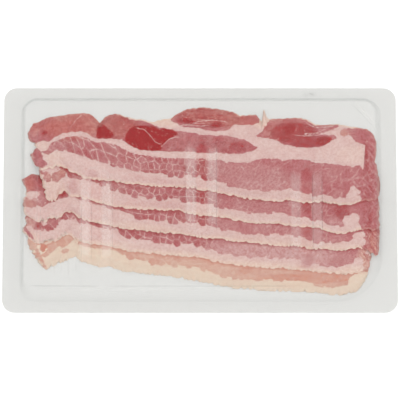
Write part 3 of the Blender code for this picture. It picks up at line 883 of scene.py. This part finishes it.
def crease_edges(mesh, chosen):
    """Marks the edges between two chosen points as sharp, so the faces either side are shaded apart."""
    ends = np.empty(len(mesh.edges) * 2, np.int32)
    mesh.edges.foreach_get("vertices", ends)
    sharp = mesh.attributes.new("sharp_edge", "BOOLEAN", "EDGE")
    sharp.data.foreach_set("value", chosen[ends.reshape(-1, 2)].all(axis=1))


class Recipe:
    """The node tree of a material or world, with short ways to add to it. Sizes are in millimetres."""

    def __init__(self, owner):
        self.owner = owner
        owner.use_nodes = True
        self.tree = owner.node_tree
        self.tree.nodes.clear()

    @functools.cached_property
    def place(self):
        """Where a point is."""
        place = self.node("ShaderNodeTexCoord").outputs["Object"]
        scaled = self.node("ShaderNodeVectorMath", place, operation="SCALE")
        return self.fill(scaled, scale=1.0 / MM).outputs["Vector"]

    def node(self, kind, *sources, **settings):
        """A node with its settings, and its first inputs linked or set to these sources."""
        made = self.tree.nodes.new(kind)
        for name, value in settings.items():
            setattr(made, name, value)
        for socket, source in zip(made.inputs, sources):
            self.put(socket, source)
        return made

    def put(self, socket, value):
        """Links or sets one input."""
        if isinstance(value, bpy.types.NodeSocket):
            self.tree.links.new(value, socket)
        elif socket.type == "RGBA":
            socket.default_value = (*value, 1.0)
        else:
            socket.default_value = value

    def fill(self, node, **inputs):
        """Links or sets a node's inputs by name."""
        for name, value in inputs.items():
            self.put(node.inputs[name.replace("_", " ").title().replace("Ior", "IOR")], value)
        return node

    def vector(self, operation, *vectors, output="Vector"):
        return self.node("ShaderNodeVectorMath", *vectors, operation=operation).outputs[output]

    def math(self, operation, *values):
        return self.node("ShaderNodeMath", *values, operation=operation).outputs[0]

    def chained(self, operation, result, *others):
        for value in others:
            result = self.math(operation, result, value)
        return result

    total = functools.partialmethod(chained, "ADD")
    product = functools.partialmethod(chained, "MULTIPLY")
    least = functools.partialmethod(chained, "MINIMUM")
    most = functools.partialmethod(chained, "MAXIMUM")

    def scaled(self, value, factor, plus=0.0):
        return self.math("MULTIPLY_ADD", value, factor, plus)

    def rest(self, value):
        """What is left of 1."""
        return self.math("SUBTRACT", 1.0, value)

    def centred(self, value, reach):
        """Noise of 0 to 1 spread about zero."""
        return self.scaled(value, 2.0 * reach, -reach)

    def ramp(self, value, low, high, start=0.0, end=1.0):
        """Goes smoothly from start to end as the value goes from low to high."""
        sources = (value, low, high, start, end)
        return self.node("ShaderNodeMapRange", *sources, interpolation_type="SMOOTHSTEP").outputs[0]

    def attribute(self, name):
        return self.node("ShaderNodeAttribute", attribute_name=name).outputs["Fac"]

    def joined(self, x, y):
        return self.node("ShaderNodeCombineXYZ", x, y).outputs[0]

    def part_of(self, vector, axis):
        return self.node("ShaderNodeSeparateXYZ", vector).outputs[axis]

    def turned(self, degrees):
        """The place, turned about the vertical."""
        turn = self.node("ShaderNodeVectorRotate", self.place, rotation_type="Z_AXIS")
        return self.fill(turn, angle=math.radians(degrees)).outputs[0]

    def texture(self, kind, place, **settings):
        return self.fill(self.node(kind, place, **settings), scale=1.0)

    def spread(self, size, stretch, place):
        """The place in features of this size, drawn out along each axis."""
        scale = tuple(1.0 / (size * side) for side in stretch)
        return self.vector("MULTIPLY", place or self.place, scale)

    def noise(self, size, detail=2.0, roughness=0.5, stretch=EVEN, place=None):
        noise = self.texture("ShaderNodeTexNoise", self.spread(size, stretch, place))
        return self.fill(noise, detail=detail, roughness=roughness).outputs["Fac"]

    def cells(self, size, feature="F1", stretch=EVEN, place=None):
        spread = self.spread(size, stretch, place)
        return self.texture("ShaderNodeTexVoronoi", spread, feature=feature).outputs["Distance"]

    def stroke(self, start, end, half_width):
        """1 along a straight line seen from above, fading to 0 at its edges and its ends."""
        start, end = (np.array((*point, 0.0)) for point in (start, end))
        along = end - start
        length = float(np.linalg.norm(along))
        flat = self.vector("MULTIPLY", self.place, (1.0, 1.0, 0.0))
        from_start = self.vector("SUBTRACT", flat, tuple(start))
        share = self.vector("DOT_PRODUCT", from_start, tuple(along / length**2), output="Value")
        nearest = self.joined(*(self.product(share, float(side)) for side in along[:2]))
        aside = self.vector("LENGTH", self.vector("SUBTRACT", from_start, nearest), output="Value")
        aside = self.ramp(aside, 0.3 * half_width, half_width, 1.0, 0.0)
        return self.product(aside, self.ramp(share, 0.0, 0.12), self.ramp(share, 0.88, 1.0, 1.0, 0.0))

    def strokes(self, value, lines):
        """Adds straight lines to a value: start, end, half width, strength."""
        for start, end, half_width, strength in lines:
            value = self.total(value, self.product(self.stroke(start, end, half_width), strength))
        return value

    def mix(self, factor, a, b, blend="MIX"):
        made = self.node("ShaderNodeMix", factor, data_type="RGBA", blend_type=blend)
        self.put(made.inputs[6], a)
        self.put(made.inputs[7], b)
        return made.outputs[2]

    def bump(self, height, distance, strength):
        bump = self.node("ShaderNodeBump")
        self.fill(bump, strength=strength, distance=distance * MM, height=height)
        return bump.outputs["Normal"]

    def shader(self, kind, **inputs):
        return self.fill(self.node(kind), **inputs).outputs[0]

    def blend(self, factor, first, second):
        return self.node("ShaderNodeMixShader", factor, first, second).outputs[0]

    def finish(self, surface, kind="ShaderNodeOutputMaterial"):
        self.node(kind, surface)
        return self.owner


class MeatRecipe(Recipe):
    """The finish of the rashers: lean, fat and what marks them, from the numbers at each point."""

    def __init__(self, name, colours, vein_strength, grain_strength):
        super().__init__(bpy.data.materials.new(name))
        self.colours = colours
        self.vein_strength = vein_strength
        self.grain_strength = grain_strength
        self.fine = self.noise(1.5, 3.0, 0.65)
        self.medium = self.noise(3.6)
        self.grain = self.noise(1.4, 2.0, 0.7)
        self.above_fat = self.attribute("above_fat")
        self.below_seam = self.attribute("below_seam")
        self.fibrous = self.attribute("fibrous")
        self.deep = self.attribute("deep")
        self.pale = self.attribute("pale")
        self.bundle = self.bundles("F1")
        wall = self.bundles("DISTANCE_TO_EDGE").outputs["Distance"]
        self.from_wall = self.scaled(wall, BUNDLE_PITCH, self.centred(self.fine, 0.35))
        lower_edge = self.ramp(self.above_fat, -2.2, -1.4)
        self.in_streak = self.product(self.ramp(self.below_seam, -0.4, 0.2), lower_edge)
        self.in_bundles = self.product(self.in_streak, self.rest(self.fibrous))
        self.inset = self.total(self.attribute("inset"), self.centred(self.medium, 0.8))
        under = self.total(self.attribute("under"), self.centred(self.medium, 1.0))
        # Painted shade just beneath the upper rasher's edge; the meat pressed there is also a wetter,
        # darker red.
        self.wet_and_shade_under_edge = self.ramp(under, 0.3, 2.4, 0.62, 0.0)

    def bundles(self, feature):
        """The node that splits the streaky lean into bundles of fibre, about one unit across."""
        place = self.joined(self.attribute("cell_x"), self.attribute("cell_y"))
        cells = self.texture("ShaderNodeTexVoronoi", place, feature=feature, voronoi_dimensions="2D")
        return self.fill(cells, randomness=0.72)

    def toward(self, first, second, share):
        """The colour that lies this share of the way from the first named colour to the second."""
        return between(self.colours[first], self.colours[second], share)

    def coated(self, colour, *coats):
        """A colour with coats over it in turn: (how much, colour)."""
        for amount, coat in coats:
            colour = self.mix(amount, colour, coat)
        return colour

    def grained(self, colour, amount, reach, dark, light):
        """A colour darkened and lightened by the grain."""
        shade = self.mix(self.ramp(self.grain, 0.5 - reach, 0.5 + reach), dark, light)
        return self.mix(amount, colour, shade, "MULTIPLY")

    def lean_depth(self):
        """How deep in the lean a point is. Whole bundles round off the lower edge of the streak."""
        centre_row = self.part_of(self.bundle.outputs["Position"], 1)
        whole = self.math("GREATER_THAN", centre_row, CELL_ROW + 0.12)
        disc = self.scaled(self.bundle.outputs["Distance"], -BUNDLE_PITCH, 0.60 * BUNDLE_PITCH)
        disc = self.math("SUBTRACT", self.product(disc, whole), self.scaled(whole, -2.0, 2.0))
        reach = self.scaled(self.fibrous, -0.5, 1.15)
        disc = self.least(disc, self.total(self.above_fat, reach))
        core = self.math("SUBTRACT", self.above_fat, reach)
        streak = self.least(self.most(disc, core), self.below_seam)
        depth = self.most(streak, self.attribute("muscle"))
        depth = self.least(depth, self.product(self.attribute("fatty"), -1.0))
        return self.total(depth, self.total(self.centred(self.medium, 0.9), self.centred(self.fine, 1.2)))

    def fat_marks(self):
        """Fat between bundles, slanting through the fibrous lean, and in threads across the muscles."""
        vein = self.ramp(self.from_wall, 0.02, 0.34, 1.0, 0.0)
        vein = self.product(vein, self.ramp(self.noise(5.0, 1.0), 0.34, 0.56, 0.20, 1.0), self.in_bundles)
        vein = self.product(vein, self.most(self.rest(self.pale), 0.0), self.vein_strength)
        slant = self.cells(4.4, "DISTANCE_TO_EDGE", (0.9, 3.0, 1.0), self.turned(38.0))
        slant = self.ramp(self.scaled(slant, 3.0, self.centred(self.fine, 0.3)), 0.02, 0.26, 1.0, 0.0)
        patchy = self.ramp(self.noise(7.0, 1.0), 0.42, 0.60)
        slant = self.product(slant, self.fibrous, self.in_streak, patchy, 0.42 * self.vein_strength)
        thread = self.math("ABSOLUTE", self.total(self.attribute("thread"), self.centred(self.fine, 0.9)))
        return self.most(vein, slant, self.ramp(thread, 0.05, 0.40, 0.6, 0.0))

    def lean_look(self):
        warm = self.attribute("warm")
        pale = self.mix(warm, self.toward("lean", "fat", 0.45), self.toward("warm", "rim", 0.45))
        layered = self.attribute("layered")
        layers = self.noise(1.5, 2.0, 0.6, (6.0, 1.0, 1.0))
        deep = self.total(self.deep, self.product(layered, self.ramp(layers, 0.34, 0.48, 0.35, 0.0)))
        speckle = self.product(self.centred(self.grain, 0.65), self.scaled(self.deep, 0.8, 1.0))
        deep = self.ramp(self.total(deep, self.centred(self.medium, 0.30), speckle), 0.08, 1.15)
        somewhat_deep = self.ramp(self.deep, 0.15, 0.5)
        specks = self.product(self.ramp(self.cells(1.7), 0.16, 0.34, 0.55, 0.0), somewhat_deep)
        strands = self.noise(1.6, 3.0, 0.6, (0.8, 5.0, 1.0), self.turned(-38.0))
        column = self.attribute("column")
        tone = self.part_of(self.bundle.outputs["Color"], 0)
        red, dark_red = self.colours["deep"], self.toward("lean", "deep", 0.6)
        lean = self.coated(
            self.mix(warm, self.colours["lean"], self.colours["warm"]),
            (self.ramp(self.noise(13.0), 0.42, 0.64, 0.0, 0.34), pale),
            (self.pale, pale),
            (self.product(self.ramp(self.from_wall, 0.1, 1.5, 0.34, 0.0), self.in_bundles), pale),
            (self.product(tone, self.in_bundles, 0.36), red),
            (self.product(layered, self.ramp(layers, 0.52, 0.64, 0.0, 0.22)), pale),
            (deep, red),
            (self.product(specks, self.ramp(self.noise(4.0, 1.0), 0.40, 0.60)), pale),
            (self.product(column, self.ramp(strands, 0.32, 0.54, 0.95, 0.0)), dark_red),
            (self.product(column, self.ramp(strands, 0.55, 0.68, 0.0, 0.85)), pale),
            (self.fat_marks(), self.colours["fat"]),
            (self.ramp(self.inset, 0.2, 1.5, 0.5, 0.0), self.toward("warm", "rim", 0.4)),
            # painted shade beneath the upper rasher's edge darkens the lean
            (self.wet_and_shade_under_edge, between(BLACK, red, 0.95)),
        )
        rough = self.product(somewhat_deep, self.ramp(self.deep, 0.9, 1.3, 1.0, 0.0))
        rough = self.product(self.scaled(rough, 0.45, 0.52), self.scaled(self.in_streak, -0.28, 1.0))
        rough = self.product(rough, self.grain_strength)
        return self.grained(lean, rough, 0.11, (0.79, 0.51, 0.52), (1.21, 1.67, 1.65))

    def fat_look(self, depth):
        fat = self.coated(
            self.colours["fat"],
            (self.ramp(depth, -3.0, 0.1, 0.0, 0.12), self.toward("fat", "lean", 0.5)),
            (self.ramp(self.noise(8.0), 0.42, 0.62, 0.0, 0.34), self.toward("fat", "lean", 0.3)),
            (self.attribute("cream"), self.colours["rim"]),
            (self.attribute("blush"), self.colours["lean"]),
            (self.ramp(self.inset, 0.1, 1.8, 0.8, 0.0), self.colours["rim"]),
            # painted shade beneath the upper rasher's edge tints the fat pink
            (self.product(self.wet_and_shade_under_edge, 0.55), self.colours["lean"]),
        )
        return self.grained(fat, self.grain_strength, 0.12, (0.955, 0.90, 0.885), (1.035, 1.08, 1.09))

    def build(self):
        """The whole material: soft, slightly moist meat whose bundles stand up a little."""
        depth = self.lean_depth()
        lean = self.ramp(depth, -0.24, 0.26)
        height = self.total(
            self.product(self.grain, 0.6),
            self.product(lean, -0.35),
            self.product(self.medium, 0.6),
            self.product(self.bundle.outputs["Distance"], self.in_bundles, lean, -1.2),
        )
        surface = self.shader(
            "ShaderNodeBsdfPrincipled",
            base_color=self.mix(lean, self.fat_look(depth), self.lean_look()),
            roughness=self.scaled(lean, -0.06, 0.44),
            normal=self.bump(height, 0.16, 0.6),
            specular_ior_level=0.3,
            subsurface_weight=0.08,
            subsurface_radius=(1.0, 0.4, 0.3),
            subsurface_scale=0.4 * MM,
        )
        surface.node.subsurface_method = "RANDOM_WALK"
        return self.finish(surface)


def clear_finish(name, tint, inside, highlight_lines=(), shade_lines_and_smear=()):
    """Clear plastic: see-through and glossy, with a milky layer of painted sheen and highlights, and a
    tint darkened for painted shade and a smear.
    """
    r = Recipe(bpy.data.materials.new(name))
    facing = r.node("ShaderNodeLayerWeight").outputs["Facing"]
    grazing = r.math("POWER", facing, SHINE_POWER)
    gloss = r.scaled(grazing, SHINE_EDGE, SHINE_INSIDE if inside else SHINE_OUTSIDE)
    if inside:
        gloss = r.product(gloss, r.rest(r.attribute("touch")))
    mottle = r.scaled(r.noise(5.0, 3.0, 0.6, (0.4, 4.0, 1.0)), 1.2, 0.4)
    # Painted sheen on the ribs' slopes and the painted highlight lines, as a milky layer.
    painted_sheen = r.strokes(r.product(r.attribute("painted_sheen"), mottle), highlight_lines)
    # A darker tint: painted shade along the foot, up the walls and on the shade lines, a darker flange,
    # and the greasy smear.
    dark = r.strokes(r.attribute("edge"), shade_lines_and_smear)
    through = r.shader("ShaderNodeBsdfTransparent", color=r.mix(dark, tint, between(BLACK, tint, 0.80)))
    painted_sheen_layer = r.shader("ShaderNodeBsdfPrincipled", base_color=PAINTED_SHEEN_COLOUR, roughness=0.5)
    shine = r.shader("ShaderNodeBsdfGlossy", color=SHINE_COLOUR, roughness=0.07)
    return r.finish(r.blend(gloss, r.blend(painted_sheen, through, painted_sheen_layer), shine))


def wall_profile(lean):
    """(inset, height) from the flange, round the foot, up the wall and over the shoulder."""
    rise = PACK_TOP - FLANGE_TOP
    pitch = math.atan2(rise, lean)
    foot_reach = FOOT_RADIUS * math.tan(pitch / 2)
    shoulder_reach = SHOULDER_RADIUS * math.tan(pitch / 2)
    foot, shoulder = [], []
    for step in range(FOOT_STEPS + 1):
        turned = pitch * step / FOOT_STEPS
        foot.append((FOOT_RADIUS * math.sin(turned) - foot_reach, FOOT_RADIUS * (1 - math.cos(turned))))
    for step in range(SHOULDER_STEPS + 1):
        left_to_turn = pitch * (1 - step / SHOULDER_STEPS)
        inset = lean + shoulder_reach - SHOULDER_RADIUS * math.sin(left_to_turn)
        shoulder.append((inset, rise - SHOULDER_RADIUS * (1 - math.cos(left_to_turn))))
    wall = [between(foot[-1], shoulder[0], step / WALL_STEPS) for step in range(1, WALL_STEPS)]
    return foot + wall + shoulder


def rounded_ring(sides, radii, heights):
    """Points anticlockwise round a rounded rectangle whose four sides may be at different heights.

    sides is (left, right, front, back), radii (front left, front right, back right, back left) and
    heights a dict by side name. Straight stretches are cut at the same shares on every ring.
    """
    left, right, front, back = sides
    corners = (
        (left + radii[0], front + radii[0], radii[0], 180, "left", "front"),
        (right - radii[1], front + radii[1], radii[1], 270, "front", "right"),
        (right - radii[2], back - radii[2], radii[2], 0, "right", "back"),
        (left + radii[3], back - radii[3], radii[3], 90, "back", "left"),
    )
    arcs = []
    for centre_x, centre_y, radius, start, first, second in corners:
        arcs.append([])
        for step in range(CORNER_STEPS + 1):
            share = step / CORNER_STEPS
            angle = math.radians(start + 90 * share)
            x, y = centre_x + radius * math.cos(angle), centre_y + radius * math.sin(angle)
            arcs[-1].append((x, y, heights[first] * (1 - share) + heights[second] * share))
    cuts = [round(2 * half / RING_PITCH) for half in FLANGE_HALF] * 2
    points = []
    for arc, following, cut in zip(arcs, arcs[1:] + arcs[:1], cuts):
        points += arc
        points += [between(arc[-1], following[0], step / cut) for step in range(1, cut)]
    return points


def wall_ring(level):
    """The ring of points round the well at one level of its wall's profile, from 0 at its foot."""
    inset, height = {}, {}
    for side in WELL:
        inset[side], rise = wall_profile(LEAN[side])[level]
        height[side] = FLANGE_TOP + rise
    sides = (
        WELL["left"] + inset["left"], WELL["right"] - inset["right"],
        WELL["front"] + inset["front"], WELL["back"] - inset["back"],
    )
    pairs = (("left", "front"), ("right", "front"), ("right", "back"), ("left", "back"))
    radii = [radius - (inset[a] + inset[b]) / 2 for radius, (a, b) in zip(WELL_CORNERS, pairs)]
    return rounded_ring(sides, radii, height)


def flange_ring():
    """The pack's outer border."""
    half_x, half_y = FLANGE_HALF
    flat = dict.fromkeys(WELL, FLANGE_TOP)
    return rounded_ring((-half_x, half_x, -half_y, half_y), (FLANGE_CORNER,) * 4, flat)


def rib_depth(x, y):
    """Distance in from the nearest rib's outline, less than zero outside it."""
    inside = [
        RIB_WIDTH / 2 - np.hypot(x - centre_x, np.maximum(np.abs(y - centre_y) - RIB_STRAIGHT, 0.0))
        for centre_x, centre_y in RIBS
    ]
    return np.max(inside, axis=0)


def beside_ribs(x, y):
    """1 along a rib's straight sides, less round its ends."""
    beyond = [
        np.where(np.abs(x - centre_x) > SHEEN_NEAR, FAR, np.abs(y - centre_y) - RIB_STRAIGHT)
        for centre_x, centre_y in RIBS
    ]
    return 1.0 - SHEEN_END_LESS * smooth_step(0.5 + np.min(beyond, axis=0) / SHEEN_END_FADE)


def shell_fields(verts):
    """The numbers at each point of the shell that its finish is worked out from.

    The first is a painted sheen, how milky the ribs' slopes are made to stand in for the light they
    reflect; touch is 1 where meat or film lies against it; and edge is how dark it is: darker on the
    flange, and painted shade along the foot and up the walls.
    """
    x, y, z = verts.T
    seen = y + SEEN_SHIFT * z
    rib = rib_depth(x, y)
    on_top = smooth_step((z - PACK_TOP + 3.2) / 0.6)
    slope = smooth_step((rib - SHEEN_FROM) / SHEEN_FADE) * smooth_step((SHEEN_TO - rib) / SHEEN_FADE) * on_top
    crest = smooth_step((rib - RIB_SLOPE + 0.4) / 0.8) * on_top
    touch = np.maximum(0.9 * crest, smooth_step((FLANGE_TOP + 0.5 - z) / 0.4))
    for outline in CONTACTS:
        touch = np.maximum(touch, smooth_step(0.5 + outline_field(x, seen, outline) / 2.0) * on_top)
    flange = z < FLANGE_TOP + 0.02
    low_wall = (z < FLANGE_TOP + 2.0) * (z > FLANGE_TOP + 0.02)
    foot = np.exp(-(((z - FLANGE_TOP - 0.4) / 0.35) ** 2)) * low_wall
    wall = smooth_step((PACK_TOP - 0.5 - z) / 0.8) * (z > FLANGE_TOP + 0.5) * (rib < -1.0)
    at_right = smooth_step((x - SHEEN_RIGHT_FROM) / 10.0)
    # Painted sheen: the ribs' slopes made milky, standing in for the light they reflect.
    painted_sheen = RIB_PAINTED_SHEEN * slope * beside_ribs(x, y) * (1.0 - SHEEN_RIGHT_LESS * at_right)
    # Painted shade along the foot and up the walls, and a darker flange.
    dark = FOOT_DARK * foot + FLANGE_DARK * flange + WALL_DARK * wall
    return {"painted_sheen": painted_sheen, "touch": touch, "edge": dark}


def fill_gap(mesh):
    """Fills the narrow gap between the last ring and the grid, leaving the outer border open."""
    working = bmesh.new()
    working.from_mesh(mesh)
    gap = [
        edge for edge in working.edges
        if edge.is_boundary and max(v.co.z for v in edge.verts) > GAP_LOWEST * MM
    ]
    bmesh.ops.triangle_fill(working, edges=gap, use_beauty=True, use_dissolve=False)
    bmesh.ops.recalc_face_normals(working, faces=working.faces)
    for face in working.faces:
        face.smooth = True
    working.to_mesh(mesh)
    working.free()
    if mesh.polygons[0].normal.z < 0:
        mesh.flip_normals()


def add_wall(sheet, thickness, far_finish):
    """Thickens an open sheet away from its near face, with another finish on its far face."""
    sheet.data.materials.append(far_finish)
    wall = sheet.modifiers.new("wall", "SOLIDIFY")
    wall.thickness = thickness * MM
    wall.offset = -1.0
    wall.material_offset = 1


def build_shell(outer_finish, inner_finish):
    """The formed shell: flange, wall and shoulder as rings, then its top as a fine grid."""
    outer, foot = flange_ring(), wall_ring(0)
    rings = [[between(p, q, share) for p, q in zip(outer, foot)] for share in FLANGE_SHARES]
    rings += [wall_ring(level) for level in range(len(wall_profile(LEAN["left"])))]
    ring_points = np.concatenate(rings)

    edge = np.array(rings[-1])[:, :2]
    spans = zip(edge.min(axis=0) + TOP_MARGIN, edge.max(axis=0), TOP_PITCH)
    grid_x, grid_y = np.meshgrid(*(np.arange(low, high, pitch) for low, high, pitch in spans))
    roomy = polygon_field(grid_x, grid_y, edge) > TOP_GAP
    index = np.full(grid_x.shape, -1)
    index[roomy] = len(ring_points) + np.arange(roomy.sum())
    squares = grid_faces(index)
    squares = squares[(squares >= 0).all(axis=1)]
    top_points = np.stack([grid_x[roomy], grid_y[roomy], np.full(roomy.sum(), PACK_TOP)], axis=-1)

    verts = np.concatenate([ring_points, top_points])
    x, y = verts[:, 0], verts[:, 1]
    sunk = RIB_DEPTH * smooth_step(rib_depth(x, y) / RIB_SLOPE)
    raised = smooth_step((verts[:, 2] - FLANGE_TOP) / (PACK_TOP - FLANGE_TOP))
    verts[:, 2] += waves(x, y, SHELL_WAVES) * raised - sunk

    faces = ring_faces(len(rings), len(outer)) + squares.tolist()
    shell = new_mesh("clear_shell", verts, faces, outer_finish, shell_fields(verts))
    fill_gap(shell.data)
    add_wall(shell, SHELL_THICKNESS, inner_finish)
    return shell


def build_film(outer_finish, inner_finish):
    """The flat film under the meat, sealed to the flange. Its near face is the one inside the pack."""
    outer = np.array(flange_ring())[:, :2]
    rings = [outer * (1.0 - inset / FLANGE_HALF) for inset in FILM_INSETS]
    flat = np.concatenate([*rings, [[0.0, 0.0]]])
    count, centre = len(outer), len(flat) - 1
    last = centre - count
    faces = ring_faces(len(rings), count)
    faces += [(last + i, last + (i + 1) % count, centre) for i in range(count)]
    x, y = flat.T
    height = FILM_TOP - FILM_SUNK + waves(x, y, FILM_WAVES)
    nothing = np.zeros(x.shape)
    sealed = smooth_step(0.5 - polygon_field(x, y, np.array(wall_ring(0))[:, :2]))
    values = {"painted_sheen": nothing, "touch": sealed, "edge": nothing}
    film = new_mesh("clear_film", np.stack([x, y, height], axis=-1), faces, inner_finish, values)
    add_wall(film, FILM_THICKNESS, outer_finish)
    return film


def build_floor():
    """A wide pale floor, as a stage."""
    r = Recipe(bpy.data.materials.new("pale_floor"))
    paint = r.shader(
        "ShaderNodeBsdfPrincipled",
        base_color=r.mix(r.noise(3.0), *FLOOR_TONES),
        roughness=0.9,
        specular_ior_level=0.0,
        emission_color=WHITE,
        emission_strength=FLOOR_GLOW,
    )
    signs = ((-1, -1), (1, -1), (1, 1), (-1, 1))
    corners = [(x * FLOOR_REACH, y * FLOOR_REACH, FLOOR_TOP) for x, y in signs]
    floor = new_mesh("floor", corners, [(0, 1, 2, 3)], r.finish(paint))


def light_scene():
    """A soft white sky all round, and one wide lamp above that throws faint shadows."""
    sky = Recipe(bpy.data.worlds.new("soft white"))
    up = sky.part_of(sky.node("ShaderNodeTexCoord").outputs["Generated"], 2)
    strength = sky.ramp(up, 0.0, SKY_HIGH_FROM, SKY_LOW, SKY_HIGH)
    background = sky.shader("ShaderNodeBackground", color=WHITE, strength=strength)
    bpy.context.scene.world = sky.finish(background, "ShaderNodeOutputWorld")
    light = bpy.data.lights.new("key", "AREA")
    light.shape = "DISK"
    light.size = LAMP_WIDTH
    light.energy = LAMP_POWER
    lamp = add_object("key", light)
    lamp.visible_glossy = False
    lamp.location = LAMP_PLACE
    lamp.rotation_euler = (-Vector(LAMP_PLACE)).to_track_quat("-Z", "Y").to_euler()


def place_camera():
    """Frames the pack as the photo does."""
    low, high = (Vector(corner) for corner in CAD_BOX)
    target = Vector(((low.x + high.x) / 2, (low.y + high.y) / 2 + AIM_BACK * MM, FLANGE_TOP * MM))
    data = bpy.data.cameras.new("camera")
    data.sensor_width = SENSOR_WIDTH
    data.lens = SENSOR_WIDTH * CAMERA_DISTANCE / (VIEW_SHARE * (high.x - low.x))
    camera = add_object("camera", data)
    away = Vector((0.0, -math.sin(CAMERA_TILT), math.cos(CAMERA_TILT)))
    camera.location = target + away * CAMERA_DISTANCE
    camera.rotation_euler = (CAMERA_TILT, 0.0, 0.0)
    bpy.context.scene.camera = camera


def main():
    lay_edges()
    streaky = MeatRecipe("streaky_bacon", STREAKY_MEAT, vein_strength=0.64, grain_strength=1.0).build()
    pale = MeatRecipe("pale_streaky_bacon", PALE_MEAT, vein_strength=0.3, grain_strength=0.35).build()
    for number in FRONT:
        rasher = build_rasher(number, pale if number == PALE_RASHER else streaky)
        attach(rasher, "root")
        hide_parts(f"rasher_{number}")
    shell = build_shell(
        clear_finish("clear_shell", SHELL_TINT, False, HIGHLIGHT_LINES, SHADE_LINES_AND_SMEAR),
        clear_finish("clear_shell_inside", SHELL_TINT, True),
    )
    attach(shell, "root")
    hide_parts("tray_shell")
    film = build_film(
        clear_finish("clear_film", FILM_TINT, False),
        clear_finish("clear_film_inside", FILM_TINT, True),
    )
    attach(film, "root")
    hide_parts("lid_film")
    build_floor()
    light_scene()
    place_camera()
    bpy.context.scene.view_settings.view_transform = "Standard"
    bpy.context.scene.cycles.transparent_max_bounces = 24


main()
